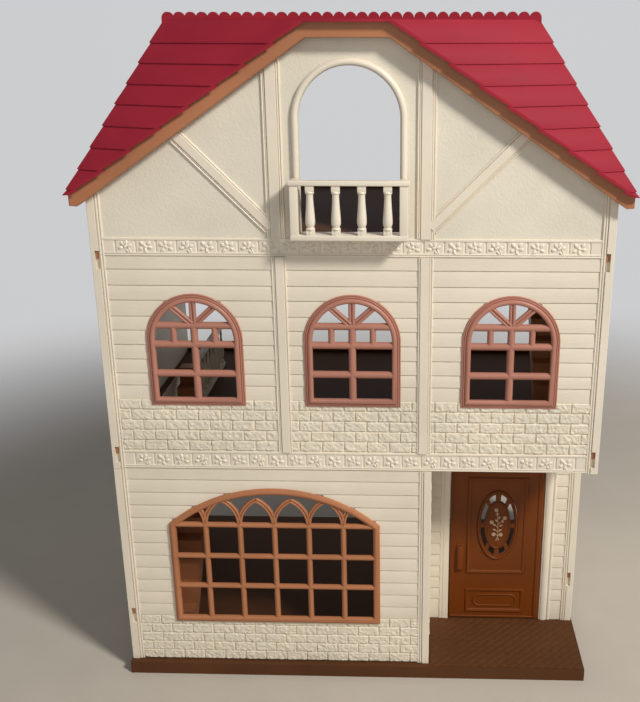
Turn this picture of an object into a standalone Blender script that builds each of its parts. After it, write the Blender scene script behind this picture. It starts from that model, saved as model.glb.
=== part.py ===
"""Three-storey toy town house: moulded plastic walls, floors and roof, open at the back.

The origin is the centre of the base's underside. +X is the viewer's right, +Y runs from the
front to the open back, +Z is up. The front door swings about a vertical hinge on its right.
"""

import math

import bmesh
import bpy

# Driving dimensions, in metres.
WIDTH = 0.350
FRONT = -0.112
BACK = 0.117
BASE_TOP = 0.010
UPPER_BOTTOM = 0.1745
UPPER_FLOOR = 0.1885
ATTIC_BOTTOM = 0.332
ATTIC_FLOOR = 0.3445
EAVE_Z = 0.3745
EAVE_X = 0.186
DECK_Z = 0.482
DECK_FRONT_X = 0.0295
RIDGE_X = 0.1225
LIP_Y = FRONT - 0.012
RIDGE_Y = LIP_Y + 0.039
ROOF_BACK = 0.119
GAP = 0.0003
WALL = 0.0022
RELIEF = 0.0013
ROOF_WALL = 0.0025
FLOOR_PLATE = 0.004

HALF = WIDTH / 2
SKIN = FRONT + RELIEF
INNER_Y = SKIN + WALL + GAP
POST = 0.0088
PORCH_X = 0.056
PORCH_DEPTH = 0.0597
ENTRANCE_Y = FRONT + PORCH_DEPTH

WINDOW_X = 0.1093
WINDOW_HALF = 0.0336
WINDOW_SILL = 0.2242
WINDOW_SPRING = 0.2724
WINDOW_RING = 0.0053

BAY_X = -0.0597
BAY_HALF = 0.0783
BAY_SILL = 0.0455
BAY_SPRING = 0.1295
BAY_RISE = 0.0296
BAY_RING = 0.0050
BAR = 0.0042
FRAME_OUT = 0.0022
LANCET_RISE = 0.0200

ARCH_HALF = 0.0327
ARCH_RING = 0.0047
ARCH_SPRING = 0.422
ARCH_FOOT = 0.3502
BATTEN = (0.0436, 0.0560)
BATTEN_TOP = 0.452

DOOR_LEFT = 0.0726
DOOR_RIGHT = 0.1482
DOOR_TOP = 0.1500
TRIM_LEFT = 0.0072
TRIM_RIGHT = 0.0092
TRIM_TOP = 0.0062
HINGE_X = 0.1456
HINGE_Y = ENTRANCE_Y + 0.0021
BARREL_R = 0.0023
PIN_R = 0.0010
BORE_R = PIN_R + 0.00015
LEAF_THICK = 0.0032
MEDAL_X = 0.1112
MEDAL_Z = 0.0979
MEDAL_RX = 0.0163
MEDAL_RZ = 0.0313
MEDAL_SLOTS = ((4.5, 46.0), (58.0, 80.5))
MEDAL_SLOT_OUTER = (0.0136, 0.0278)
MEDAL_SLOT_INNER = (0.0103, 0.0212)

STAIR_WIDTH = 0.034
LOWER_STEPS = 12
UPPER_STEPS = 11
STEP_RUN = 0.0124
STAIR_SLAB = 0.010
WELL_START = 0.33
RAIL_HEIGHT = 0.040

VERGE_SLOPE = (DECK_Z - EAVE_Z) / (EAVE_X - DECK_FRONT_X)


def clear_scene():
    for obj in list(bpy.data.objects):
        bpy.data.objects.remove(obj, do_unlink=True)
    for old in list(bpy.data.collections):
        bpy.data.collections.remove(old)


def new_collection(name, parent):
    made = bpy.data.collections.new(name)
    parent.children.link(made)
    return made


def plastic(name, colour, roughness):
    made = bpy.data.materials.new(name)
    made.use_nodes = True
    shader = made.node_tree.nodes["Principled BSDF"]
    shader.inputs["Base Color"].default_value = (*colour, 1.0)
    shader.inputs["Roughness"].default_value = roughness
    shader.inputs["Metallic"].default_value = 0.0
    made.diffuse_color = (*colour, 1.0)
    return made


clear_scene()
HOUSE = new_collection("toy_house", bpy.context.scene.collection)
HELPERS = new_collection("helpers", bpy.context.scene.collection)
HELPERS.hide_render = True

CREAM = plastic("cream_plastic", (0.80, 0.72, 0.55), 0.45)
RED = plastic("red_plastic", (0.42, 0.03, 0.06), 0.40)
ORANGE = plastic("orange_brown_plastic", (0.42, 0.15, 0.06), 0.40)
ROSE = plastic("rose_brown_plastic", (0.30, 0.11, 0.08), 0.42)
DOOR = plastic("door_brown_plastic", (0.30, 0.11, 0.04), 0.38)
DARK = plastic("dark_brown_plastic", (0.13, 0.055, 0.04), 0.5)


# ---------------------------------------------------------------- shapes


def settle(obj, collection, colour):
    """Puts an object in one collection with one material."""
    for old in list(obj.users_collection):
        old.objects.unlink(obj)
    collection.objects.link(obj)
    obj.data.materials.clear()
    obj.data.materials.append(colour)
    return obj


def helper(obj):
    """A cutter or a shape that is joined to another: never a part of its own."""
    settle(obj, HELPERS, CREAM)
    obj.hide_render = True
    obj.display_type = "WIRE"
    return obj


def box(name, low, high, colour=CREAM):
    mesh = bpy.data.meshes.new(name)
    bm = bmesh.new()
    bmesh.ops.create_cube(bm, size=1.0)
    bmesh.ops.scale(bm, vec=[b - a for a, b in zip(low, high)], verts=bm.verts)
    bm.to_mesh(mesh)
    bm.free()
    obj = bpy.data.objects.new(name, mesh)
    obj.location = [(a + b) / 2 for a, b in zip(low, high)]
    return settle(obj, HOUSE, colour)


def cylinder(name, radius, low, high, colour=CREAM, sides=20):
    """A cylinder standing on low with its top at high."""
    mesh = bpy.data.meshes.new(name)
    bm = bmesh.new()
    depth = high[2] - low[2]
    bmesh.ops.create_cone(
        bm, cap_ends=True, segments=sides, radius1=radius, radius2=radius, depth=depth
    )
    bm.to_mesh(mesh)
    bm.free()
    mesh.shade_smooth()
    mesh.set_sharp_from_angle(angle=math.radians(40))
    obj = bpy.data.objects.new(name, mesh)
    obj.location = (low[0], low[1], low[2] + depth / 2)
    return settle(obj, HOUSE, colour)


TURNS = {
    "front": (math.pi / 2, 0, 0),
    "side": (math.pi / 2, 0, math.pi / 2),
    "floor": (0, 0, 0),
}


def plate(name, outlines, near, far, facing, colour=CREAM):
    """A flat plate from closed outlines; any outline inside another is a hole.

    front plates take (x, z) points between two y values, side plates (y, z) points
    between two x values, and floor plates (x, y) points between two z values.
    """
    curve = bpy.data.curves.new(name, "CURVE")
    curve.dimensions = "2D"
    curve.fill_mode = "BOTH"
    curve.extrude = (far - near) / 2
    for outline in outlines:
        spline = curve.splines.new("POLY")
        spline.points.add(len(outline) - 1)
        for point, (u, v) in zip(spline.points, outline):
            point.co = (u, v, 0, 1)
        spline.use_cyclic_u = True
    guide = bpy.data.objects.new(name + "_outline", curve)
    HELPERS.objects.link(guide)
    guide.rotation_euler = TURNS[facing]
    middle = (near + far) / 2
    guide.location = {
        "front": (0, middle, 0),
        "side": (middle, 0, 0),
        "floor": (0, 0, middle),
    }[facing]
    bpy.context.view_layer.update()
    graph = bpy.context.evaluated_depsgraph_get()
    mesh = bpy.data.meshes.new_from_object(guide.evaluated_get(graph))
    bm = bmesh.new()
    bm.from_mesh(mesh)
    bmesh.ops.remove_doubles(bm, verts=bm.verts, dist=1e-6)
    bmesh.ops.recalc_face_normals(bm, faces=bm.faces)
    bm.to_mesh(mesh)
    bm.free()
    mesh.name = name
    obj = bpy.data.objects.new(name, mesh)
    obj.matrix_world = guide.matrix_world.copy()
    bpy.data.objects.remove(guide, do_unlink=True)
    bpy.data.curves.remove(curve)
    return settle(obj, HOUSE, colour)


def combine(obj, others, operation):
    """Joins or cuts other shapes, kept as hidden helpers, into obj."""
    group = new_collection(f"{obj.name}_{operation.lower()}", HELPERS)
    group.hide_render = True
    for other in others:
        helper(other)
        HELPERS.objects.unlink(other)
        group.objects.link(other)
    modifier = obj.modifiers.new(operation.title(), "BOOLEAN")
    modifier.operation = operation
    modifier.solver = "EXACT"
    modifier.operand_type = "COLLECTION"
    modifier.collection = group
    return obj


def join(obj, others):
    return combine(obj, others, "UNION")


def cut(obj, others):
    return combine(obj, others, "DIFFERENCE")


def turned(name, profile, steps, location, colour=CREAM):
    """A turned solid about Z: profile is (radius, height) pairs from top to bottom."""
    mesh = bpy.data.meshes.new(name)
    bm = bmesh.new()
    verts = [bm.verts.new((r, 0, z)) for r, z in profile]
    for first, second in zip(verts, verts[1:]):
        bm.edges.new((first, second))
    bm.to_mesh(mesh)
    bm.free()
    obj = bpy.data.objects.new(name, mesh)
    obj.location = location
    screw = obj.modifiers.new("Screw", "SCREW")
    screw.steps = steps
    screw.render_steps = steps
    screw.use_merge_vertices = True
    screw.merge_threshold = 0.00001
    return settle(obj, HOUSE, colour)


# ---------------------------------------------------------------- outlines


def rectangle(low_u, low_v, high_u, high_v):
    return [(low_u, low_v), (high_u, low_v), (high_u, high_v), (low_u, high_v)]


def arc(centre, radius, start, end, steps):
    """Points along a circle from one angle to another, in degrees."""
    return [
        (
            centre[0] + radius * math.cos(math.radians(start + (end - start) * i / steps)),
            centre[1] + radius * math.sin(math.radians(start + (end - start) * i / steps)),
        )
        for i in range(steps + 1)
    ]


def round_arch(x, half, bottom, spring, steps=20):
    """A doorway outline with a half-round head."""
    return [(x - half, bottom), (x + half, bottom)] + arc((x, spring), half, 0, 180, steps)


def low_arch(x, half, bottom, spring, rise, steps=20):
    """A doorway outline whose head is a shallow arc."""
    radius = (half**2 + rise**2) / (2 * rise)
    reach = math.degrees(math.asin(half / radius))
    head = arc((x, spring + rise - radius), radius, 90 - reach, 90 + reach, steps)
    return [(x - half, bottom), (x + half, bottom)] + head


def ellipse(x, z, rx, rz, steps=32):
    return [
        (x + rx * math.cos(2 * math.pi * i / steps), z + rz * math.sin(2 * math.pi * i / steps))
        for i in range(steps)
    ]


def verge(x, drop):
    """Height of the line that lies drop below the roof's front edge."""
    return min(DECK_Z, EAVE_Z + (EAVE_X - abs(x)) * VERGE_SLOPE) - drop


def gable_outline(half, bottom, drop):
    """A wall outline under the roof's front edge."""
    corner = DECK_FRONT_X
    return [
        (-half, bottom),
        (half, bottom),
        (half, verge(half, drop)),
        (corner, DECK_Z - drop),
        (-corner, DECK_Z - drop),
        (-half, verge(half, drop)),
    ]


# ---------------------------------------------------------------- walls


def posts(name, spans, low, high, front=FRONT, back=None):
    """Raised upright strips on a wall's face."""
    back = SKIN + WALL / 2 if back is None else back
    return [
        box(f"{name}_{i}", (a, front, low), (b, back, high)) for i, (a, b) in enumerate(spans)
    ]


def bands(name, low_x, high_x, heights):
    """Raised level strips on the front, a little behind the posts' faces."""
    return [
        box(f"{name}_{i}", (low_x, FRONT + 0.0002, a), (high_x, SKIN + WALL / 2, b))
        for i, (a, b) in enumerate(heights)
    ]


def clip_slot(name, x, y, top):
    """A slot through a corner post, where a wall clip snaps in."""
    half = 0.0014
    return box(name, (x - half, y - 0.004, top - 0.0125), (x + half, y + 0.009, top))


INSET = 0.0004
SLOT_X = HALF - 0.0038
SLOT_TOPS = (0.0560, 0.1915, 0.3355)


def make_base():
    base = box("base_plate", (-HALF - 0.001, FRONT - 0.005, 0), (HALF + 0.001, BACK, BASE_TOP), DARK)
    socket = cylinder(
        "base_pin_socket",
        BORE_R,
        (HINGE_X, HINGE_Y, BASE_TOP - 0.0045),
        (HINGE_X, HINGE_Y, BASE_TOP + 0.002),
    )
    return cut(base, [socket])


def make_ground_front():
    low = BASE_TOP + GAP
    high = UPPER_BOTTOM - GAP
    wall = plate(
        "ground_front_wall",
        [
            rectangle(-HALF + INSET, low + INSET, PORCH_X - INSET, high - INSET),
            low_arch(BAY_X, BAY_HALF - 0.003, BAY_SILL + 0.003, BAY_SPRING, BAY_RISE - 0.003),
        ],
        SKIN,
        SKIN + WALL,
        "front",
    )
    spans = [(-HALF, -HALF + POST), (PORCH_X - POST, PORCH_X)]
    join(wall, posts("ground_post", spans, low, high))
    return cut(wall, [clip_slot("slot_a", -SLOT_X, FRONT, SLOT_TOPS[0])])


def make_entrance():
    low = BASE_TOP + GAP
    high = UPPER_BOTTOM - GAP
    box("ground_return_wall", (PORCH_X - WALL, INNER_Y, low), (PORCH_X, ENTRANCE_Y - GAP, high))
    skin = ENTRANCE_Y + 0.0006
    opening = rectangle(
        DOOR_LEFT - TRIM_LEFT - GAP,
        low - 0.004,
        DOOR_RIGHT + TRIM_RIGHT + GAP,
        DOOR_TOP + TRIM_TOP + GAP,
    )
    wall = plate(
        "entrance_wall",
        [rectangle(PORCH_X - WALL, low, HALF - INSET, high - INSET)],
        skin,
        skin + WALL,
        "front",
    )
    edge = posts(
        "entrance_post",
        [(HALF - POST, HALF)],
        low + 0.0001,
        high,
        ENTRANCE_Y,
        skin + WALL / 2,
    )
    join(wall, edge)
    doorway = plate("doorway", [opening], skin - 0.005, skin + 0.01, "front")
    return cut(wall, [doorway, clip_slot("slot_b", SLOT_X, ENTRANCE_Y, SLOT_TOPS[0])])


def make_ground_sides():
    low = BASE_TOP + GAP
    high = UPPER_BOTTOM - GAP
    box("ground_left_wall", (-HALF, INNER_Y, low), (-HALF + WALL, BACK, high))
    box("ground_right_wall", (HALF - WALL, ENTRANCE_Y + 0.0031, low), (HALF, BACK, high))


def make_upper_front():
    high = ATTIC_FLOOR - GAP
    openings = [
        round_arch(x, WINDOW_HALF - 0.003, WINDOW_SILL + 0.003, WINDOW_SPRING)
        for x in (-WINDOW_X, 0, WINDOW_X)
    ]
    wall = plate(
        "upper_front_wall",
        [rectangle(-HALF + INSET, UPPER_BOTTOM + INSET, HALF - INSET, high - INSET)] + openings,
        SKIN,
        SKIN + WALL,
        "front",
    )
    spans = [
        (-HALF, -HALF + POST),
        (-0.0545, -0.0440),
        (0.0450, 0.0553),
        (HALF - POST, HALF),
    ]
    join(wall, posts("upper_post", spans, UPPER_BOTTOM, high))
    heights = [(UPPER_BOTTOM + 0.0002, UPPER_FLOOR), (ATTIC_BOTTOM, high - 0.0002)]
    join(wall, bands("frieze", -HALF + 0.002, HALF - 0.002, heights))
    slots = [
        clip_slot(f"slot_{i}", side * SLOT_X, FRONT, top)
        for i, (side, top) in enumerate((s, t) for s in (-1, 1) for t in SLOT_TOPS[1:])
    ]
    return cut(wall, slots)


def make_upper_sides():
    for name, side in (("upper_left_wall", -1), ("upper_right_wall", 1)):
        xs = sorted((side * HALF, side * (HALF - WALL)))
        box(name, (xs[0], INNER_Y, UPPER_BOTTOM), (xs[1], BACK, ATTIC_FLOOR - GAP))


def make_gable():
    wall = plate(
        "gable_wall",
        [
            gable_outline(HALF - INSET, ATTIC_FLOOR + INSET, 0.0045),
            round_arch(0, ARCH_HALF, ATTIC_FLOOR + 0.003, ARCH_SPRING, 24),
        ],
        SKIN,
        SKIN + WALL,
        "front",
    )
    foot = ATTIC_FLOOR + 0.0001
    top = verge(HALF, 0.0045)
    strips = posts("gable_post", [(-HALF, -HALF + POST), (HALF - POST, HALF)], foot, top)
    strips += posts("gable_batten", [(-BATTEN[1], -BATTEN[0]), BATTEN], foot, BATTEN_TOP)
    for side in (-1, 1):
        strips.append(brace(side))
    return join(wall, strips)


def brace(side):
    """A slanting timber from the upright batten up to the verge."""
    low = (0.0530, ATTIC_FLOOR + 0.0075)
    high = (0.1150, 0.4130)
    across = (high[0] - low[0], high[1] - low[1])
    length = math.hypot(*across)
    half = 0.0049
    off = (-across[1] / length * half, across[0] / length * half)
    corners = [
        (low[0] - off[0], low[1] - off[1]),
        (high[0] - off[0], high[1] - off[1]),
        (high[0] + off[0], high[1] + off[1]),
        (low[0] + off[0], low[1] + off[1]),
    ]
    outline = [(side * x, z) for x, z in corners]
    return plate(f"brace_{side}", [outline], FRONT + 0.0003, SKIN + WALL / 2, "front")


def make_attic_sides():
    for name, side in (("attic_left_wall", -1), ("attic_right_wall", 1)):
        xs = sorted((side * HALF, side * (HALF - WALL)))
        box(name, (xs[0], INNER_Y, ATTIC_FLOOR + GAP), (xs[1], BACK, EAVE_Z + 0.006))


def make_clips():
    """Orange snap clips that show in the corner posts' slots."""
    places = [
        (-SLOT_X, FRONT, SLOT_TOPS[0], "left_low"),
        (SLOT_X, ENTRANCE_Y, SLOT_TOPS[0], "right_low"),
    ]
    for side, word in ((-1, "left"), (1, "right")):
        places.append((side * SLOT_X, FRONT, SLOT_TOPS[1], word + "_middle"))
        places.append((side * SLOT_X, FRONT, SLOT_TOPS[2], word + "_high"))
    for x, y, top, word in places:
        front = y + 0.0008
        box(
            "wall_clip_" + word,
            (x - 0.0011, front, top - 0.0058),
            (x + 0.0011, front + 0.0024, top - GAP),
            ORANGE,
        )


# ---------------------------------------------------------------- floors and stairs


def make_floor(name, level, bottom, well):
    """A floor plate with a stairwell, a raised lip and a deep beam along the open back."""
    outer = HALF - WALL - GAP
    floor = plate(
        name,
        [rectangle(-outer, INNER_Y, outer, BACK - 0.001), well],
        level - FLOOR_PLATE,
        level,
        "floor",
        DARK,
    )
    beam = box(name + "_beam", (-outer, BACK - 0.004, bottom), (outer, BACK, level + 0.0035))
    return join(floor, [beam])


def stairwell(side, foot_y, steps):
    """The hole above the upper two thirds of a flight."""
    outer = HALF - WALL - 0.003
    inner = outer - STAIR_WIDTH - 0.001
    xs = sorted((side * inner, side * outer))
    head_y = foot_y + steps * STEP_RUN
    return rectangle(xs[0], foot_y + steps * STEP_RUN * WELL_START, xs[1], head_y + 0.001)


def make_stairs(name, side, foot_y, low, high, steps):
    """A straight flight beside a wall, rising from the front towards the back."""
    rise = (high - low) / steps
    outline = []
    for i in range(steps):
        outline.append((foot_y + i * STEP_RUN, low + i * rise))
        outline.append((foot_y + i * STEP_RUN, low + (i + 1) * rise))
    head_y = foot_y + steps * STEP_RUN
    outline.append((head_y, high))
    outline.append((head_y, high - STAIR_SLAB))
    outline.append((foot_y + STAIR_SLAB, low))
    outer = HALF - WALL - 0.0035
    xs = sorted((side * outer, side * (outer - STAIR_WIDTH)))
    return plate(name, [outline], xs[0], xs[1], "side", ORANGE)


def baluster_profile(height, thick):
    """Radius and height down a turned baluster, from its top to its foot."""
    shape = (
        (0.0, 1.0),
        (0.62, 1.0),
        (0.62, 0.90),
        (0.40, 0.86),
        (0.58, 0.80),
        (0.42, 0.74),
        (0.72, 0.52),
        (0.98, 0.32),
        (0.80, 0.20),
        (0.45, 0.14),
        (0.85, 0.09),
        (0.85, 0.0),
        (0.0, 0.0),
    )
    return [(r * thick, z * height) for r, z in shape]


def make_stair_rail(name, side, foot_y, steps, floor):
    """A railing along the open side of a stairwell."""
    inner = HALF - WALL - 0.003 - STAIR_WIDTH - 0.001
    x = side * (inner - 0.004)
    start = foot_y + steps * STEP_RUN * WELL_START - 0.004
    end = foot_y + steps * STEP_RUN - 0.004
    low = floor + GAP
    top = low + RAIL_HEIGHT
    rail = box(name, (x - 0.002, start, top - 0.004), (x + 0.002, end, top))
    foot_half = 0.0022
    foot = box(
        name + "_foot",
        (x - foot_half, start + 0.0002, low),
        (x + foot_half, end - 0.0002, low + 0.003),
    )
    parts = [foot]
    count = 8
    inset = 0.003
    for i in range(count):
        y = start + inset + (end - start - 2 * inset) * i / (count - 1)
        stem = turned(
            f"{name}_stem_{i}", baluster_profile(top - low - 0.004, 0.0021), 10, (x, y, low + 0.002)
        )
        parts.append(stem)
    return join(rail, parts)


# ---------------------------------------------------------------- windows and balcony


def make_arched_window(name, x):
    """A round-headed frame with a fan above two crossed rows of panes."""
    front = FRONT - FRAME_OUT
    back = SKIN - GAP
    inner = WINDOW_HALF - WINDOW_RING
    ring = plate(
        name,
        [
            round_arch(x, WINDOW_HALF, WINDOW_SILL, WINDOW_SPRING, 28),
            round_arch(x, inner, WINDOW_SILL + WINDOW_RING, WINDOW_SPRING, 28),
        ],
        front,
        back,
        "front",
        ROSE,
    )
    near = front + 0.0003
    far = back - 0.0002
    half = BAR / 2
    reach = inner + 0.0015
    low = WINDOW_SILL + 0.001
    bars = [box(name + "_mullion", (x - half, near, low), (x + half, far, WINDOW_SPRING + reach))]
    fan = 0.2833
    for i, z in enumerate((0.2482, 0.2696, fan)):
        bar = box(
            f"{name}_bar_{i}",
            (x - reach, near + 0.0001, z - half),
            (x + reach, far - 0.0001, z + half),
        )
        bars.append(bar)
    for i, side in enumerate((-1, 1)):
        stem_x = x + side * 0.0143
        stem = box(
            f"{name}_stem_{i}",
            (stem_x - half, near + 0.0002, 0.2696),
            (stem_x + half, far - 0.0002, fan),
        )
        bars.append(stem)
        spoke = box(f"{name}_spoke_{i}", (0, near + 0.0002, -half), (0.0260, far - 0.0002, half))
        spoke.location = (x + side * 0.0092, (near + far) / 2, fan + 0.0092)
        spoke.rotation_euler = (0, -math.radians(45 if side > 0 else 135), 0)
        bars.append(spoke)
    return join(ring, bars)


def lancet(name, low_x, high_x, spring, near, far):
    """Two arcs that lean together over one row of panes."""
    span = high_x - low_x
    rise = LANCET_RISE
    radius = (rise**2 + span**2 / 4) / span
    reach = math.degrees(math.asin(rise / radius))
    half = BAR * 0.42
    made = []
    for i, (centre, start, sign) in enumerate(((low_x + radius, 180, -1), (high_x - radius, 0, 1))):
        outer = arc((centre, spring), radius + half, start, start + sign * (reach + 6), 8)
        inner = arc((centre, spring), radius - half, start, start + sign * (reach + 6), 8)
        made.append(plate(f"{name}_{i}", [outer + inner[::-1]], near, far, "front"))
    return made


def make_bay_window():
    front = FRONT - FRAME_OUT
    back = SKIN - GAP
    frame = plate(
        "large_window_frame",
        [
            low_arch(BAY_X, BAY_HALF, BAY_SILL, BAY_SPRING, BAY_RISE, 28),
            low_arch(
                BAY_X,
                BAY_HALF - BAY_RING,
                BAY_SILL + BAY_RING,
                BAY_SPRING,
                BAY_RISE - BAY_RING,
                28,
            ),
        ],
        front,
        back,
        "front",
        ORANGE,
    )
    near = front + 0.0003
    far = back - 0.0002
    half = BAR / 2
    pitch = 0.0256
    bars = []
    for i in range(5):
        bar_x = BAY_X + (i - 2) * pitch
        upright = box(
            f"bay_upright_{i}",
            (bar_x - half, near, BAY_SILL + 0.002),
            (bar_x + half, far, BAY_SPRING + 0.0025),
        )
        bars.append(upright)
    wide = BAY_HALF - BAY_RING + 0.002
    for i, z in enumerate((0.0768, 0.1024, BAY_SPRING - 0.0008)):
        level = box(
            f"bay_level_{i}",
            (BAY_X - wide, near + 0.0001, z - half),
            (BAY_X + wide, far - 0.0001, z + half),
        )
        bars.append(level)
    for i in range(4):
        low_x = BAY_X + (i - 2) * pitch
        bars += lancet(f"bay_lancet_{i}", low_x, low_x + pitch, BAY_SPRING, near + 0.0002, far - 0.0002)
    return join(frame, bars)


def make_arch_surround():
    """The round moulding about the balcony doorway."""
    return plate(
        "arch_surround",
        [
            round_arch(0, ARCH_HALF + ARCH_RING, ARCH_FOOT, ARCH_SPRING, 28)[1:]
            + [(-ARCH_HALF - ARCH_RING, ARCH_FOOT)]
            + [(-ARCH_HALF, ARCH_FOOT)]
            + round_arch(0, ARCH_HALF, ARCH_FOOT, ARCH_SPRING, 28)[:0:-1]
        ],
        FRONT - 0.0018,
        SKIN - GAP,
        "front",
    )


def make_balcony():
    """A shallow balcony: slab, two corner posts, top rail and four turned balusters."""
    low = 0.3462
    slab_top = 0.3497
    rail_low = 0.3815
    rail_top = 0.3857
    back = FRONT - 0.0024
    front = FRONT - 0.0155
    half = 0.0383
    slab = box("balcony", (-half, front, low), (half, back, slab_top))
    rail = box(
        "balcony_rail",
        (-half - 0.0004, front - 0.0006, rail_low),
        (half + 0.0004, front + 0.0046, rail_top),
    )
    parts = [rail]
    for side in (-1, 1):
        xs = sorted((side * half - side * 0.0002, side * (half - 0.0056)))
        post = box(
            f"balcony_post_{side}",
            (xs[0], front + 0.0002, low + 0.001),
            (xs[1], front + 0.0040, rail_top - 0.001),
        )
        arm = box(
            f"balcony_arm_{side}",
            (xs[0], front + 0.0030, rail_low + 0.0003),
            (xs[1], back, rail_top - 0.0003),
        )
        parts += [post, arm]
    for i in range(4):
        x = (i - 1.5) * 0.0167
        height = rail_low - slab_top + 0.002
        foot = (x, front + 0.0021, slab_top - 0.001)
        parts.append(turned(f"baluster_{i}", baluster_profile(height, 0.0031), 12, foot))
    return join(slab, parts)


# ---------------------------------------------------------------- front door


def on_hinge(z):
    """The point of the door's hinge axis at this height."""
    return (HINGE_X, HINGE_Y, z)


def make_door_frame():
    """Cream trim about the door, with the upper hinge pin's socket in its head."""
    outer = rectangle(
        DOOR_LEFT - TRIM_LEFT, BASE_TOP + GAP, DOOR_RIGHT + TRIM_RIGHT, DOOR_TOP + TRIM_TOP
    )
    frame = plate("door_frame", [outer], ENTRANCE_Y - 0.001, ENTRANCE_Y + 0.005, "front")
    hole = plate(
        "door_hole",
        [rectangle(DOOR_LEFT, BASE_TOP - 0.01, DOOR_RIGHT, DOOR_TOP)],
        ENTRANCE_Y - 0.005,
        ENTRANCE_Y + 0.01,
        "front",
    )
    socket = cylinder(
        "head_pin_socket",
        BORE_R,
        (HINGE_X, HINGE_Y, DOOR_TOP - 0.002),
        (HINGE_X, HINGE_Y, DOOR_TOP + 0.0045),
    )
    return cut(frame, [hole, socket])


def make_door():
    """The leaf and its fittings, hung from an empty on the hinge line."""
    hinge = bpy.data.objects.new("door_hinge_axis", None)
    hinge.location = (HINGE_X, HINGE_Y, 0)
    HOUSE.objects.link(hinge)
    low = BASE_TOP + 0.0008
    high = DOOR_TOP - 0.0006
    near = HINGE_Y - LEAF_THICK / 2
    far = HINGE_Y + LEAF_THICK / 2
    leaf = plate(
        "door_leaf",
        [
            rectangle(DOOR_LEFT + 0.0006, low, HINGE_X - 0.0008, high),
            ellipse(MEDAL_X, MEDAL_Z, MEDAL_RX + GAP, MEDAL_RZ + GAP),
        ],
        near,
        far,
        "front",
        DOOR,
    )
    shapes = [cylinder("hinge_barrel", BARREL_R, on_hinge(low + 0.0001), on_hinge(high - 0.0001))]
    panels = ((0.0868, 0.0535, 0.1350, 0.1405), (0.0868, 0.0168, 0.1350, 0.0392))
    for i, (x0, z0, x1, z1) in enumerate(panels):
        rim = 0.0022
        shapes.append(
            plate(
                f"panel_rim_{i}",
                [rectangle(x0, z0, x1, z1), rectangle(x0 + rim, z0 + rim, x1 - rim, z1 - rim)],
                near - 0.0008,
                near + 0.001,
                "front",
            )
        )
    join(leaf, shapes)
    bores = [
        cylinder("leaf_bore_low", BORE_R, on_hinge(low - 0.002), on_hinge(low + 0.006)),
        cylinder("leaf_bore_high", BORE_R, on_hinge(high - 0.006), on_hinge(high + 0.002)),
    ]
    cut(leaf, bores)
    medallion = make_medallion(near)
    handle = box(
        "door_handle", (0.0794, near - 0.0036, 0.0572), (0.0842, near - GAP, 0.0792), DOOR
    )
    bevel = handle.modifiers.new("Bevel", "BEVEL")
    bevel.width = 0.0012
    bevel.segments = 3
    seat = 0.0042
    grip = 0.0056
    pins = [
        cylinder("door_pin_bottom", PIN_R, on_hinge(BASE_TOP - seat), on_hinge(low + grip), ORANGE),
        cylinder("door_pin_top", PIN_R, on_hinge(high - grip), on_hinge(DOOR_TOP + seat), ORANGE),
    ]
    bpy.context.view_layer.update()
    for piece in (leaf, medallion, handle, *pins):
        piece.parent = hinge
        piece.matrix_parent_inverse = hinge.matrix_world.inverted()


def make_medallion(near):
    """The oval insert: a ring of eight slots, two to a quarter, about a plain oval."""
    slots = []
    spans = []
    for start, end in MEDAL_SLOTS:
        spans += [(start, end), (180 - end, 180 - start)]
        spans += [(180 + start, 180 + end), (360 - end, 360 - start)]
    for start, end in spans:
        outer = []
        inner = []
        for k in range(5):
            turn = math.radians(start + (end - start) * k / 4)
            for edge, (wide, tall) in ((outer, MEDAL_SLOT_OUTER), (inner, MEDAL_SLOT_INNER)):
                edge.append((MEDAL_X + wide * math.cos(turn), MEDAL_Z + tall * math.sin(turn)))
        slots.append(outer + inner[::-1])
    return plate(
        "door_medallion",
        [ellipse(MEDAL_X, MEDAL_Z, MEDAL_RX, MEDAL_RZ, 40)] + slots,
        near - 0.0008,
        near + 0.0024,
        "front",
        DOOR,
    )


# ---------------------------------------------------------------- roof


def make_fascia():
    """The gable board: two sloping arms and a level top, cut level at the eaves."""
    top = 0.0029
    deep = 0.0131
    flat_top = DECK_Z - top
    flat_low = DECK_Z - 0.0108
    inner_x = EAVE_X - (flat_low + deep - EAVE_Z) / VERGE_SLOPE
    tip_x = 0.1838
    under_x = 0.1740
    right = [
        (DECK_FRONT_X - 0.001, flat_top),
        (tip_x, verge(tip_x, top)),
        (tip_x, 0.3668),
        (0.1788, 0.3665),
        (under_x, verge(under_x, deep)),
        (inner_x, flat_low),
    ]
    left = [(-x, z) for x, z in reversed(right)]
    return plate(
        "gable_fascia",
        [right + left],
        FRONT - 0.0055,
        FRONT - GAP,
        "front",
        ORANGE,
    )


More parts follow.
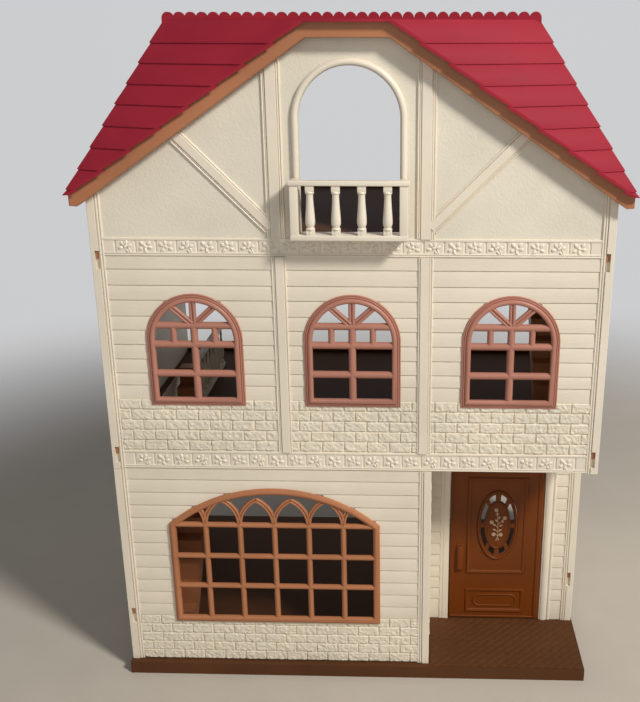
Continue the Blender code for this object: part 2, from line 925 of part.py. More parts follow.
def make_roof():
    """One moulded shell: two front slopes, two end slopes and a flat deck."""
    mesh = bpy.data.meshes.new("roof_shell")
    bm = bmesh.new()

    def corner(x, y, z):
        return bm.verts.new((x, y, z))

    deck_front = [corner(s * DECK_FRONT_X, LIP_Y, DECK_Z) for s in (-1, 1)]
    ridge = [corner(s * RIDGE_X, RIDGE_Y, DECK_Z) for s in (-1, 1)]
    eave = [corner(s * EAVE_X, LIP_Y, EAVE_Z) for s in (-1, 1)]
    ridge_back = [corner(s * RIDGE_X, ROOF_BACK, DECK_Z) for s in (-1, 1)]
    eave_back = [corner(s * EAVE_X, ROOF_BACK, EAVE_Z) for s in (-1, 1)]
    bm.faces.new((eave[0], deck_front[0], ridge[0]))
    bm.faces.new((eave[1], ridge[1], deck_front[1]))
    bm.faces.new((eave[0], ridge[0], ridge_back[0], eave_back[0]))
    bm.faces.new((eave[1], eave_back[1], ridge_back[1], ridge[1]))
    bm.faces.new((deck_front[0], deck_front[1], ridge[1], ridge_back[1], ridge_back[0], ridge[0]))
    bm.to_mesh(mesh)
    bm.free()
    roof = bpy.data.objects.new("roof_shell", mesh)
    solid = roof.modifiers.new("Solidify", "SOLIDIFY")
    solid.thickness = ROOF_WALL
    solid.offset = -1
    solid.use_even_offset = True
    solid.use_quality_normals = True
    return settle(roof, HOUSE, RED)


def make_ridge_strip():
    """The scalloped ridge tiles along the front of the deck."""
    count = 33
    pitch = 2 * RIDGE_X / count
    low = DECK_Z + GAP
    valley = low + 0.0012
    outline = [(-RIDGE_X, low), (RIDGE_X, low)]
    for i in range(count):
        centre = RIDGE_X - (i + 0.5) * pitch
        outline += [(x, z) for x, z in arc((centre, valley), pitch / 2, 8, 172, 6)]
    return plate("ridge_strip", [outline], RIDGE_Y + 0.0005, RIDGE_Y + 0.0035, "front", RED)


def main():
    make_base()
    make_ground_front()
    make_entrance()
    make_ground_sides()
    box(
        "porch_ceiling",
        (PORCH_X - 0.002, INNER_Y, UPPER_BOTTOM),
        (HALF - WALL - GAP, ENTRANCE_Y - 0.001, UPPER_BOTTOM + 0.003),
    )
    lower_foot = FRONT + 0.040
    upper_foot = FRONT + 0.052
    make_floor("upper_floor", UPPER_FLOOR, UPPER_BOTTOM, stairwell(-1, lower_foot, LOWER_STEPS))
    make_upper_front()
    make_upper_sides()
    make_floor("attic_floor", ATTIC_FLOOR, ATTIC_BOTTOM, stairwell(1, upper_foot, UPPER_STEPS))
    make_stairs("lower_staircase", -1, lower_foot, BASE_TOP + GAP, UPPER_FLOOR, LOWER_STEPS)
    make_stairs("upper_staircase", 1, upper_foot, UPPER_FLOOR + GAP, ATTIC_FLOOR, UPPER_STEPS)
    make_stair_rail("upper_stair_rail", -1, lower_foot, LOWER_STEPS, UPPER_FLOOR)
    make_stair_rail("attic_stair_rail", 1, upper_foot, UPPER_STEPS, ATTIC_FLOOR)
    make_gable()
    make_attic_sides()
    make_clips()
    make_bay_window()
    make_arched_window("arched_window_left", -WINDOW_X)
    make_arched_window("arched_window_centre", 0.0)
    make_arched_window("arched_window_right", WINDOW_X)
    make_arch_surround()
    make_balcony()
    make_door_frame()
    make_door()
    make_fascia()
    make_roof()
    make_ridge_strip()


main()
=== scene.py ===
"""Looks of a moulded plastic toy town house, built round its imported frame.

Flat shapes are drawn in local coordinates (u across, v up, h out of the face) and then placed on
a wall, a side or a floor. Lengths are in metres.
"""

import math

import bmesh
import bpy
import numpy as np
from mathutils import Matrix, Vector


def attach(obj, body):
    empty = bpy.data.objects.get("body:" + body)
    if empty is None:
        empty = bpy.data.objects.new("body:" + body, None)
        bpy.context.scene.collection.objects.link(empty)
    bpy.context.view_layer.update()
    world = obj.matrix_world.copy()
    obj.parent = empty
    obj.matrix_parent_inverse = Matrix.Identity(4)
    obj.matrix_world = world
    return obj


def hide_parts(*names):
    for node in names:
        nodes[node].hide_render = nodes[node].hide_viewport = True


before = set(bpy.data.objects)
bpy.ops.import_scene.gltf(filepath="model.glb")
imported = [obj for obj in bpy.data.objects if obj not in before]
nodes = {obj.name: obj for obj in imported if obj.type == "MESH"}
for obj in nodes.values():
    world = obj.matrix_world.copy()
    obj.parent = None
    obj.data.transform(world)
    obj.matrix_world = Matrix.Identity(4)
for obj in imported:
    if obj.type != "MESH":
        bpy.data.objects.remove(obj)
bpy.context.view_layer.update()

MM = 0.001

# Levels and planes of the frame.
FRONT = -0.112
SKIN = -0.1107
BACK = 0.117
HALF = 0.175
BASE_TOP = 0.010
UPPER_BOTTOM = 0.1745
UPPER_FLOOR = 0.1885
ATTIC_BOTTOM = 0.332
ATTIC_FLOOR = 0.3445
EAVE_Z = 0.3745
EAVE_X = 0.186
DECK_Z = 0.482
DECK_FRONT_X = 0.0295
RIDGE_X = 0.1225
LIP_Y = FRONT - 0.012
RIDGE_Y = LIP_Y + 0.039
ROOF_BACK = 0.119
PORCH_X = 0.056
ENTRANCE_Y = -0.0523
WALL = 0.0022
INNER_Y = -0.1082
VERGE_SLOPE = (DECK_Z - EAVE_Z) / (EAVE_X - DECK_FRONT_X)
SLOT_X = 0.1712
SLOT_TOPS = (0.0560, 0.1915, 0.3355)

WINDOW_XS = (-0.1093, 0.0, 0.1093)
WINDOW_HALF = 0.0336
WINDOW_SILL = 0.2242
WINDOW_SPRING = 0.2724
BAY_X = -0.0597
BAY_HALF = 0.0783
BAY_SILL = 0.0455
BAY_SPRING = 0.1295
BAY_RISE = 0.0296
ARCH_HALF = 0.0327
ARCH_SPRING = 0.422
DOOR_LEFT = 0.0726
DOOR_RIGHT = 0.1482
DOOR_TOP = 0.1500
HINGE_X = 0.1456
LEAF_Y = -0.0518
MEDAL_X = 0.1112
MEDAL_Z = 0.0979


# ---------------------------------------------------------------- materials


def new_node(tree, kind, **values):
    """Adds a shader node and sets its inputs by name, an underscore standing for a space."""
    node = tree.nodes.new("ShaderNode" + kind)
    for key, value in values.items():
        node.inputs[key.replace("_", " ")].default_value = value
    return node


def wire(tree, *links):
    """Links shader nodes: each link is (node, output, node, input)."""
    for start, output, end, entry in links:
        tree.links.new(start.outputs[output], end.inputs[entry])


def moulded(name, colour, rough, grain=0.10, size=1100.0, vary=0.06, stretch=(1, 1, 1), spec=0.5):
    """Moulded plastic: slight drift of tone, a fine grained skin and uneven gloss."""
    made = bpy.data.materials.new(name)
    made.use_nodes = True
    tree = made.node_tree
    shader = tree.nodes["Principled BSDF"]
    shader.inputs["Specular IOR Level"].default_value = spec
    place = new_node(tree, "TexCoord")
    mapping = new_node(tree, "Mapping", Scale=stretch)
    drift = new_node(tree, "TexNoise", Scale=22.0, Detail=4.0)
    ramp = new_node(tree, "ValToRGB")
    for stop, where, share in zip(ramp.color_ramp.elements, (0.32, 0.68), (1 - vary, 1 + vary)):
        stop.position = where
        stop.color = (*(min(1.0, c * share) for c in colour), 1)
    fine = new_node(tree, "TexNoise", Scale=size, Detail=3.0)
    bump = new_node(tree, "Bump", Strength=grain, Distance=0.0004)
    gloss = new_node(tree, "MapRange", To_Min=rough - 0.06, To_Max=rough + 0.08)
    wire(
        tree,
        (place, "Object", mapping, "Vector"),
        (place, "Object", drift, "Vector"),
        (drift, "Fac", ramp, "Fac"),
        (ramp, "Color", shader, "Base Color"),
        (mapping, "Vector", fine, "Vector"),
        (fine, "Fac", bump, "Height"),
        (bump, "Normal", shader, "Normal"),
        (drift, "Fac", gloss, "Value"),
        (gloss, "Result", shader, "Roughness"),
    )
    return made


CREAM_COLOUR = (0.765, 0.69, 0.565)
CREAM = moulded("cream", CREAM_COLOUR, 0.42, 0.08)
POST = moulded("cream_post", (0.80, 0.725, 0.60), 0.38, 0.05, vary=0.04)
SIDING = moulded("cream_siding", CREAM_COLOUR, 0.46, 0.32, 950, stretch=(0.16, 1, 1), vary=0.045)
STUCCO = moulded("cream_stucco", (0.75, 0.70, 0.58), 0.52, 0.55, 620, vary=0.05)
BRICK = moulded("cream_brick", (0.775, 0.705, 0.575), 0.48, 0.30, 800, vary=0.05)
RED = moulded("red", (0.325, 0.022, 0.040), 0.54, 0.12, 900, vary=0.07, spec=0.08)
ORANGE = moulded("orange_brown", (0.43, 0.175, 0.080), 0.42, 0.10, 900, vary=0.08, spec=0.35)
ROSE = moulded("rose_brown", (0.44, 0.195, 0.142), 0.40, 0.08, 900, vary=0.08, spec=0.35)
DOOR = moulded(
    "door_brown", (0.160, 0.039, 0.004), 0.40, 0.16, 700, stretch=(1, 1, 0.2), vary=0.10, spec=0.25
)
DARK = moulded("dark_brown", (0.098, 0.038, 0.014), 0.62, 0.20, 900, vary=0.10, spec=0.15)
SPRIG = moulded("sprig_tan", (0.52, 0.37, 0.23), 0.5, 0.1, 900)


# ---------------------------------------------------------------- shapes


def frontal(plane):
    """Places local points on a face that looks to the front, at y = plane."""

    def place(p):
        return np.stack([p[:, 0], plane - p[:, 2], p[:, 1]], 1)

    return place


def sideways(plane, side):
    """Places local points on a face that looks left (side -1) or right (side 1)."""

    def place(p):
        return np.stack([plane + side * p[:, 2], p[:, 0], p[:, 1]], 1)

    return place


def level(plane):
    """Places local points on a face that looks up."""

    def place(p):
        return np.stack([p[:, 0], p[:, 1], plane + p[:, 2]], 1)

    return place


def as_is(p):
    return p


class Shape:
    """Closed shells and moulded faces that make up one piece."""

    def __init__(self, place=as_is):
        self.place = place
        self.verts = []
        self.faces = []
        self.count = 0

    def add(self, verts, faces):
        placed = self.place(np.asarray(verts, float).reshape(-1, 3))
        self.verts.append(placed)
        self.faces += [tuple(int(i) + self.count for i in face) for face in faces]
        self.count += len(placed)
        return self

    def sweep(self, *given, **options):
        return self.add(*sweep(*given, **options))

    def plate(self, outlines, near, far):
        return self.add(*plate(outlines, near, far))

    def mesh(self, name, flip=True):
        """The shape's mesh, its normals turned outward if flip is set."""
        mesh = bpy.data.meshes.new(name)
        mesh.from_pydata(np.concatenate(self.verts).tolist(), [], self.faces)
        if flip:
            bm = bmesh.new()
            bm.from_mesh(mesh)
            bmesh.ops.recalc_face_normals(bm, faces=bm.faces)
            bm.to_mesh(mesh)
            bm.free()
        return mesh

    def build(self, name, material, body="root", stands_for=(), angle=35, flip=True):
        mesh = self.mesh(name, flip)
        mesh.shade_smooth()
        mesh.set_sharp_from_angle(angle=math.radians(angle))
        mesh.materials.append(material)
        obj = bpy.data.objects.new(name, mesh)
        bpy.context.scene.collection.objects.link(obj)
        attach(obj, body)
        if stands_for:
            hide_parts(*stands_for)
        return obj


def sweep(path, profile, closed=False):
    """Carries a closed cross-section of (left of travel, out) points along a path, mitred."""
    pts = np.asarray(path, float)
    count = len(pts)
    verts = []
    for i in range(count):
        before = pts[i] - pts[i - 1] if (closed or i) else pts[1] - pts[0]
        after = pts[(i + 1) % count] - pts[i] if (closed or i < count - 1) else before
        before = before / np.linalg.norm(before)
        after = after / np.linalg.norm(after)
        normal = np.array([-(before[1] + after[1]), before[0] + after[0]])
        normal /= np.linalg.norm(normal)
        stretch = 1 / max(0.35, float(np.dot(normal, [-after[1], after[0]])))
        for a, h in profile:
            verts.append((*(pts[i] + normal * a * stretch), h))
    ring = len(profile)
    faces = []
    for i in range(count if closed else count - 1):
        j = (i + 1) % count
        for k in range(ring):
            m = (k + 1) % ring
            faces.append((i * ring + k, i * ring + m, j * ring + m, j * ring + k))
    if not closed:
        faces.append(tuple(range(ring))[::-1])
        faces.append(tuple((count - 1) * ring + k for k in range(ring)))
    return verts, faces


def oval(centre, reach_u, reach_v, start, end, steps):
    """Points along an ellipse from one angle to another, in degrees."""
    turns = np.radians(np.linspace(start, end, steps + 1))
    return [(centre[0] + reach_u * math.cos(t), centre[1] + reach_v * math.sin(t)) for t in turns]


def half_round(width, height, foot=0.0008, steps=8, centre=0.0):
    """A bead's cross-section, sunk by foot into what it lies on."""
    bead = oval((centre, 0), width / 2, height, 180, 0, steps)
    return [(centre - width / 2, -foot), *bead, (centre + width / 2, -foot)]


def moulding(points, foot=0.0012):
    """A cross-section from its top line, closed by a flat back."""
    return [(points[0][0], -foot), *points, (points[-1][0], -foot)]


def mirrored(section):
    return [(-a, h) for a, h in section]


def bead_line(start, end, height, base=0.0, steps=6):
    """Top line of one bead between two places across a moulding."""
    return oval(((start + end) / 2, base), (end - start) / 2, height, 180, 0, steps)


def plate(outlines, near, far):
    """A flat plate between two heights; an outline inside another is a hole."""
    curve = bpy.data.curves.new("outline", "CURVE")
    curve.dimensions = "2D"
    curve.fill_mode = "BOTH"
    curve.extrude = (far - near) / 2
    for outline in outlines:
        spline = curve.splines.new("POLY")
        spline.points.add(len(outline) - 1)
        for point, (u, v) in zip(spline.points, outline):
            point.co = (u, v, 0, 1)
        spline.use_cyclic_u = True
    guide = bpy.data.objects.new("outline", curve)
    bpy.context.scene.collection.objects.link(guide)
    bpy.context.view_layer.update()
    graph = bpy.context.evaluated_depsgraph_get()
    mesh = bpy.data.meshes.new_from_object(guide.evaluated_get(graph))
    bm = bmesh.new()
    bm.from_mesh(mesh)
    bmesh.ops.remove_doubles(bm, verts=bm.verts, dist=1e-6)
    bpy.data.objects.remove(guide, do_unlink=True)
    bpy.data.curves.remove(curve)
    bpy.data.meshes.remove(mesh)
    return taken(bm, (near + far) / 2)


def taken(bm, lift=0.0):
    """The vertices and faces of a bmesh, which is freed."""
    bm.verts.index_update()
    verts = [(v.co.x, v.co.y, v.co.z + lift) for v in bm.verts]
    faces = [[v.index for v in f.verts] for f in bm.faces]
    bm.free()
    return verts, faces


def rounded_box(low, high, radius=0.0, segments=3):
    """A box between two corners, with rounded edges if a radius is given."""
    bm = bmesh.new()
    bmesh.ops.create_cube(bm, size=1.0)
    bmesh.ops.scale(bm, vec=[b - a for a, b in zip(low, high)], verts=bm.verts)
    bmesh.ops.translate(bm, vec=[(a + b) / 2 for a, b in zip(low, high)], verts=bm.verts)
    if radius:
        bmesh.ops.bevel(
            bm, geom=bm.edges[:], offset=radius, segments=segments, profile=0.5, affect="EDGES"
        )
    return taken(bm)


def lathe(profile, centre, steps=24):
    """A turned solid about Z from (radius, height) pairs, top to bottom."""
    verts = []
    rings = []
    for radius, height in profile:
        count = steps if radius > 1e-7 else 1
        rings.append(range(len(verts), len(verts) + count))
        for i in range(count):
            turn = 2 * math.pi * i / steps
            x = centre[0] + radius * math.cos(turn)
            y = centre[1] + radius * math.sin(turn)
            verts.append((x, y, centre[2] + height))
    faces = []
    for upper, lower in zip(rings, rings[1:]):
        for i in range(steps):
            j = (i + 1) % steps
            if len(upper) == 1:
                faces.append((upper[0], lower[i], lower[j]))
            elif len(lower) == 1:
                faces.append((upper[i], lower[0], upper[j]))
            else:
                faces.append((upper[i], lower[i], lower[j], upper[j]))
    return verts, faces


def relief(us, vs, height, back=-0.0012, hole=None):
    """A moulded face over a grid of lines, its outer edges turned back into the wall."""
    u, v = np.meshgrid(np.asarray(us, float), np.asarray(vs, float))
    h = height(u, v)
    u = np.pad(u, 1, mode="edge")
    v = np.pad(v, 1, mode="edge")
    h = np.pad(h, 1, constant_values=back)
    rows, cols = u.shape
    verts = np.stack([u.ravel(), v.ravel(), h.ravel()], 1)
    index = np.arange(rows * cols).reshape(rows, cols)
    faces = np.stack([index[:-1, :-1], index[:-1, 1:], index[1:, 1:], index[1:, :-1]], -1)
    keep = np.ones(faces.shape[:2], bool)
    for corner in ((0, 0), (0, -1), (-1, 0), (-1, -1)):
        keep[corner] = False
    if hole is not None:
        centre = verts[faces].mean(2)
        keep &= ~hole(centre[..., 0], centre[..., 1])
    faces = faces[keep]
    used, remapped = np.unique(faces, return_inverse=True)
    return verts[used], remapped.reshape(faces.shape)


def lines(low, high, step):
    return np.linspace(low, high, max(2, int(round((high - low) / step)) + 1))


def rectangle(u0, v0, u1, v1):
    return [(u0, v0), (u1, v0), (u1, v1), (u0, v1)]


def arc(centre, radius, start, end, steps):
    return oval(centre, radius, radius, start, end, steps)


def round_arch(u, half, bottom, spring, steps=48):
    return [(u - half, bottom), (u + half, bottom)] + arc((u, spring), half, 0, 180, steps)


def low_arch(u, half, bottom, spring, rise, steps=48):
    radius = (half**2 + rise**2) / (2 * rise)
    reach = math.degrees(math.asin(half / radius))
    head = arc((u, spring + rise - radius), radius, 90 - reach, 90 + reach, steps)
    return [(u - half, bottom), (u + half, bottom)] + head


def ellipse(u, v, ru, rv, steps=64):
    return oval((u, v), ru, rv, 0, 360, steps)[:-1]


def in_round_arch(u, v, centre, half, bottom, spring):
    straight = (np.abs(u - centre) < half) & (v > bottom) & (v <= spring)
    return straight | ((v > spring) & (np.hypot(u - centre, v - spring) < half))


def in_low_arch(u, v, centre, half, bottom, spring, rise):
    radius = (half**2 + rise**2) / (2 * rise)
    under = np.hypot(u - centre, v - (spring + rise - radius)) < radius
    return (np.abs(u - centre) < half) & (v > bottom) & under


def verge(u, drop):
    return min(DECK_Z, EAVE_Z + (EAVE_X - abs(u)) * VERGE_SLOPE) - drop


# ---------------------------------------------------------------- reliefs


def noise(u, v, cell, seed):
    """Smooth random heights from 0 to 1 over a lattice of this cell."""
    table = np.random.default_rng(seed).random((97, 97))
    a = u / cell
    b = v / cell
    i = np.floor(a).astype(int)
    j = np.floor(b).astype(int)
    f = a - i
    g = b - j
    f = f * f * (3 - 2 * f)
    g = g * g * (3 - 2 * g)
    low = table[i % 97, j % 97] * (1 - f) + table[(i + 1) % 97, j % 97] * f
    high = table[i % 97, (j + 1) % 97] * (1 - f) + table[(i + 1) % 97, (j + 1) % 97] * f
    return low * (1 - g) + high * g


def ease(x):
    x = np.clip(x, 0, 1)
    return x * x * (3 - 2 * x)


BOARD_OUT = 0.95 * MM
BOARD_IN = 0.40 * MM


def board_lines(low, high, joints):
    """Heights of the grid lines for boards whose lower edges lie at joints."""
    edges = [z for z in joints if low + 0.001 < z < high - 0.001]
    found = [low, low + 0.0004]
    for z in edges:
        found += [z - 0.0006, z - 0.00035, z - 0.00001, z + 0.0004, z + 0.0030]
    found += [high - 0.0004, high]
    return np.array(sorted(found))


def boards(joints):
    """Lapped boards: each thickest at its lower edge, with a fine groove beneath."""
    edges = np.array(sorted([-1.0, *joints, 1.0]))

    def height(u, v):
        k = np.searchsorted(edges, v, side="right") - 1
        below = v - edges[k]
        above = edges[k + 1] - v
        body = BOARD_OUT - (BOARD_OUT - BOARD_IN) * np.clip(below / 0.0102, 0, 1)
        lip = ease(below / 0.00035)
        groove = ease((above - 0.00001) / 0.0005)
        return body * (0.55 + 0.45 * lip) * groove

    return height


def bricks(start, low, course, pitch, seed):
    """Rough-faced bricks in running bond."""

    def height(u, v):
        row = np.floor((v - low) / course)
        along = (u - start) / pitch + 0.5 * (row % 2)
        cell = np.floor(along)
        du = (along - cell) * pitch
        du = np.minimum(du, pitch - du)
        dv = (v - low) - row * course
        dv = np.minimum(dv, course - dv)
        edge = ease((np.minimum(du, dv) - 0.00022) / 0.00058)
        table = np.random.default_rng(seed).random((211, 5))
        pick = (cell.astype(int) * 7 + row.astype(int) * 31) % 211
        tilt = (table[pick, 0] - 0.5) * (dv / course) + (table[pick, 1] - 0.5) * (du / pitch)
        shifted = u + table[pick, 2] * 0.3
        rough = noise(shifted, v, 0.0018, seed + 1)
        chips = noise(shifted, v, 0.0010, seed + 2)
        facets = np.abs(noise(shifted + v * 0.7, v, 0.0025, seed + 3) - 0.5) * 2
        face = 0.55 + 0.50 * rough + 0.28 * chips + 0.34 * facets + 0.4 * tilt
        return edge * face * 1.05 * MM

    return height


def leaf(u, v, cu, cv, turn, long, wide, out):
    """A raised leaf with a crease along it."""
    c = math.cos(math.radians(turn))
    s = math.sin(math.radians(turn))
    a = ((u - cu) * c + (v - cv) * s) / long
    b = (-(u - cu) * s + (v - cv) * c) / (wide * np.clip(1.15 - 0.55 * np.abs(a), 0.3, 2))
    inside = np.clip(1 - a * a - b * b, 0, 1)
    crease = 1 - 0.28 * np.exp(-((b / 0.22) ** 2))
    return out * np.sqrt(inside) * crease


def stem(u, v, start, end, bend, wide, out):
    """A raised stem, bowed between two points."""
    du = end[0] - start[0]
    dv = end[1] - start[1]
    length = math.hypot(du, dv)
    a = ((u - start[0]) * du + (v - start[1]) * dv) / length**2
    b = (-(u - start[0]) * dv + (v - start[1]) * du) / length
    b = b - bend * 4 * a * (1 - a)
    return out * np.sqrt(np.clip(1 - (b / wide) ** 2, 0, 1)) * ((a > 0) & (a < 1))


# Each kind of sprig: leaves as (across, up, turn, half length, half width), and one stem as
# (start, end, bend), in millimetres from the tile's middle.
SPRIGS = (
    (
        ((-3.0, 1.6, 150, 1.9, 1.1), (2.6, 2.2, 40, 2.0, 1.2), (-0.6, 2.9, 100, 1.7, 1.0)),
        ((-2.2, -2.1, 215, 1.8, 0.9), (3.1, -1.2, -20, 1.7, 0.9)),
        ((-3.6, -3.6), (2.2, 2.8), 1.0),
    ),
    (
        ((-3.2, -0.6, 170, 1.9, 1.0), (0.6, 2.8, 75, 1.9, 1.2), (3.0, 0.8, 15, 1.8, 1.0)),
        ((-1.8, 2.2, 130, 1.7, 1.0), (1.6, -2.8, -50, 1.5, 0.8)),
        ((3.4, -3.6), (-1.8, 2.6), -1.1),
    ),
    (
        ((-2.4, 2.4, 130, 2.0, 1.1), (2.2, 2.6, 55, 1.9, 1.1), (-3.1, -1.4, 195, 1.7, 0.9)),
        ((3.0, -0.4, -5, 1.8, 1.0), (-0.2, -2.6, 255, 1.4, 0.8)),
        ((1.0, -3.9), (-0.8, 2.6), 0.8),
    ),
)


def tiles(centre_v, pitch=13.8 * MM, count=23):
    """A row of square tiles, each with a raised sprig, parted by grooves."""

    def height(u, v):
        along = u / pitch + 0.5
        cell = np.floor(along)
        du = (along - cell - 0.5) * pitch
        dv = v - centre_v
        plain = np.abs(cell) > (count - 1) / 2
        divide = pitch / 2 - np.abs(du)
        h = 0.60 * MM * ease((divide - 0.0002) / 0.0007)
        art = np.zeros_like(u)
        for kind, (upper, lower, (a, b, bend)) in enumerate(SPRIGS):
            part = np.zeros_like(u)
            for cu, cv, turn, long, wide in upper + lower:
                bump = leaf(du, dv, cu * MM, cv * MM, turn, long * MM, wide * MM, 0.95 * MM)
                part = np.maximum(part, bump)
            a = (a[0] * MM, a[1] * MM)
            b = (b[0] * MM, b[1] * MM)
            part = np.maximum(part, stem(du, dv, a, b, bend * MM, 0.5 * MM, 0.6 * MM))
            bud = np.hypot(du, dv - 0.2 * MM) / (1.15 * MM)
            part = np.maximum(part, 0.8 * MM * np.sqrt(np.clip(1 - bud**2, 0, 1)))
            art = np.where(cell.astype(int) % 3 == kind, part, art)
        return h + np.where(plain, 0, art)

    return height


# ---------------------------------------------------------------- walls


BEAD_BASE = 0.0007


def corner_post_line(width, out):
    """Top line of a corner post: a flat board, then two fine beads on its inner side."""
    flat = width * 0.60
    line = [(0.0, 0.0), (0.0, out - 0.0003), (0.0003, out), (flat - 0.0002, out)]
    line += [(flat, BEAD_BASE)]
    line += bead_line(flat + 0.0002, flat + 0.0019, 0.0009, BEAD_BASE)
    line += bead_line(flat + 0.0021, width, 0.0007, BEAD_BASE)
    return line


def batten_line(width, out, beads_left=2, beads_right=1):
    """Top line of an upright batten: a flat board edged with beads."""
    step = 0.00135
    line = [(0.0, 0.0)]
    place = 0.0
    for _ in range(beads_left):
        line += bead_line(place, place + step, 0.0007, BEAD_BASE)
        place += step
    end = width - beads_right * step
    line += [(place + 0.0001, out - 0.0005), (place + 0.0004, out), (end - 0.0004, out)]
    line += [(end - 0.0001, out - 0.0005)]
    for _ in range(beads_right):
        line += bead_line(end, end + step, 0.0009, BEAD_BASE)
        end += step
    line.append((width, 0.0))
    return line


def upright(shape, u, low, high, line, mirror=False):
    """A vertical moulding whose left edge is at u, or its right edge if mirrored."""
    shape.sweep([(u, low), (u, high)], moulding(line if mirror else mirrored(line)))


def slotted(obj, places):
    """Cuts the clip slots through a post."""
    slots = Shape()
    for x, y, top in places:
        slots.add(*rounded_box((x - 0.0014, y - 0.004, top - 0.0125), (x + 0.0014, y + 0.009, top)))
    cutter = bpy.data.objects.new("slots", slots.mesh("slots", flip=False))
    modifier = obj.modifiers.new("Slots", "BOOLEAN")
    modifier.operation = "DIFFERENCE"
    modifier.solver = "EXACT"
    modifier.object = cutter
    bpy.context.view_layer.update()
    graph = bpy.context.evaluated_depsgraph_get()
    mesh = bpy.data.meshes.new_from_object(obj.evaluated_get(graph))
    obj.modifiers.remove(modifier)
    old = obj.data
    obj.data = mesh
    bpy.data.meshes.remove(old)
    bpy.data.objects.remove(cutter, do_unlink=True)


UPPER_JOINTS = [0.3227, 0.3115, 0.3010, 0.2896, 0.2795, 0.2690, 0.2583, 0.2479, 0.2389]
GROUND_JOINTS = [0.1652 - 0.01053 * i for i in range(12)]
PORCH_JOINTS = GROUND_JOINTS + [0.0392, 0.0287]
GROUND_BRICK_TOP = 0.0496
UPPER_BRICK_TOP = 0.2283
UPPER_BRICK_LOW = 0.1890
GROUND_LOW = BASE_TOP + 0.0003
GROUND_HIGH = UPPER_BOTTOM - 0.0003
FIELD_X = 0.1665
BRICK_LONG = 0.0160
BRICK_COURSES = 5
BATTEN = 0.0102
POST_WIDE = 0.0088
POST_OUT = 0.0021
PANEL = -0.0003
INSET = 0.0004
REVEAL = 0.0026


def bay_hole(u, v):
    sill = BAY_SILL + REVEAL
    return in_low_arch(u, v, BAY_X, BAY_HALF - REVEAL, sill, BAY_SPRING, BAY_RISE - REVEAL)


def window_hole(u, v):
    found = np.zeros(u.shape, bool)
    for x in WINDOW_XS:
        found |= in_round_arch(u, v, x, WINDOW_HALF - REVEAL, WINDOW_SILL + REVEAL, WINDOW_SPRING)
    return found


def siding(left, right, low, high, joints, step, hole=None, back=-0.0012):
    us = lines(left, right, step)
    return relief(us, board_lines(low, high, joints), boards(joints), back, hole)


def brickwork(left, right, low, high, start, seed, step, hole=None, back=-0.0012, base=None):
    """Five courses of bricks that start at one place along the wall and at one height."""
    base = low if base is None else base
    pattern = bricks(start, base, (high - base) / BRICK_COURSES, BRICK_LONG, seed)
    return relief(lines(left, right, step), lines(low, high, step), pattern, back, hole)


def corner_post(name, plane, u, low, high, mirror, places=(), out=POST_OUT):
    post = Shape(frontal(plane))
    upright(post, u, low, high, corner_post_line(POST_WIDE, out), mirror)
    made = post.build(name, POST)
    if places:
        slotted(made, places)


def ground_front():
    back = Shape(frontal(SKIN))
    outline = rectangle(-HALF + INSET, GROUND_LOW, PORCH_X - INSET, GROUND_HIGH)
    hole = low_arch(BAY_X, BAY_HALF - 0.003, BAY_SILL + 0.003, BAY_SPRING, BAY_RISE - 0.003)
    back.plate([outline, hole], -WALL, PANEL)
    back.build("ground_front_panel", CREAM, stands_for=["ground_front_wall"])
    left = -HALF + 0.0085
    right = PORCH_X - 0.0085
    top = GROUND_BRICK_TOP
    face = Shape(frontal(SKIN))
    face.add(*siding(left, right, top, GROUND_HIGH, GROUND_JOINTS, 0.0011, bay_hole))
    face.build("ground_siding", SIDING, flip=False)
    face = Shape(frontal(SKIN))
    face.add(*brickwork(left, right, GROUND_LOW, top, -FIELD_X, 11, 0.00042, bay_hole))
    face.build("ground_bricks", BRICK, flip=False)
    slot = [(-SLOT_X, FRONT, SLOT_TOPS[0])]
    corner_post("ground_post_left", SKIN, -HALF, GROUND_LOW, GROUND_HIGH, False, slot)
    corner_post("ground_post_porch", SKIN, PORCH_X, GROUND_LOW, GROUND_HIGH, True)


def upper_front():
    back = Shape(frontal(SKIN))
    holes = [
        round_arch(x, WINDOW_HALF - 0.003, WINDOW_SILL + 0.003, WINDOW_SPRING) for x in WINDOW_XS
    ]
    outline = rectangle(-HALF + INSET, UPPER_BOTTOM, HALF - INSET, ATTIC_FLOOR)
    back.plate([outline, *holes], -WALL, PANEL)
    back.build("upper_front_panel", CREAM, stands_for=["upper_front_wall"])
    top = UPPER_BRICK_TOP
    high = ATTIC_BOTTOM + 0.0005
    wood = Shape(frontal(SKIN))
    wall = Shape(frontal(SKIN))
    bays = ((-FIELD_X, -0.0534), (-0.0445, 0.0455), (0.0545, FIELD_X))
    for i, (left, right) in enumerate(bays):
        wood.add(*siding(left, right, top, high, UPPER_JOINTS, 0.0011, window_hole))
        face = brickwork(
            left, right, UPPER_FLOOR, top, -FIELD_X, 23 + i, 0.00045, window_hole, base=UPPER_BRICK_LOW
        )
        wall.add(*face)
    wood.build("upper_siding", SIDING, flip=False)
    wall.build("upper_bricks", BRICK, flip=False)
    battens = Shape(frontal(SKIN))
    line = batten_line(BATTEN, POST_OUT)
    upright(battens, -0.0540, UPPER_FLOOR, ATTIC_BOTTOM, line)
    upright(battens, 0.0552, UPPER_FLOOR, ATTIC_BOTTOM, line, mirror=True)
    battens.build("upper_battens", POST)
    frieze("lower_frieze", UPPER_BOTTOM, UPPER_FLOOR, 0.1813)
    frieze("upper_frieze", ATTIC_BOTTOM, ATTIC_FLOOR, 0.3382)
    for word, side in (("left", -1), ("right", 1)):
        top = verge(HALF, 0.0045)
        slots = [(side * SLOT_X, FRONT, z) for z in SLOT_TOPS[1:]]
        corner_post(
            f"upper_post_{word}", SKIN, side * HALF, UPPER_BOTTOM, top, side > 0, slots
        )


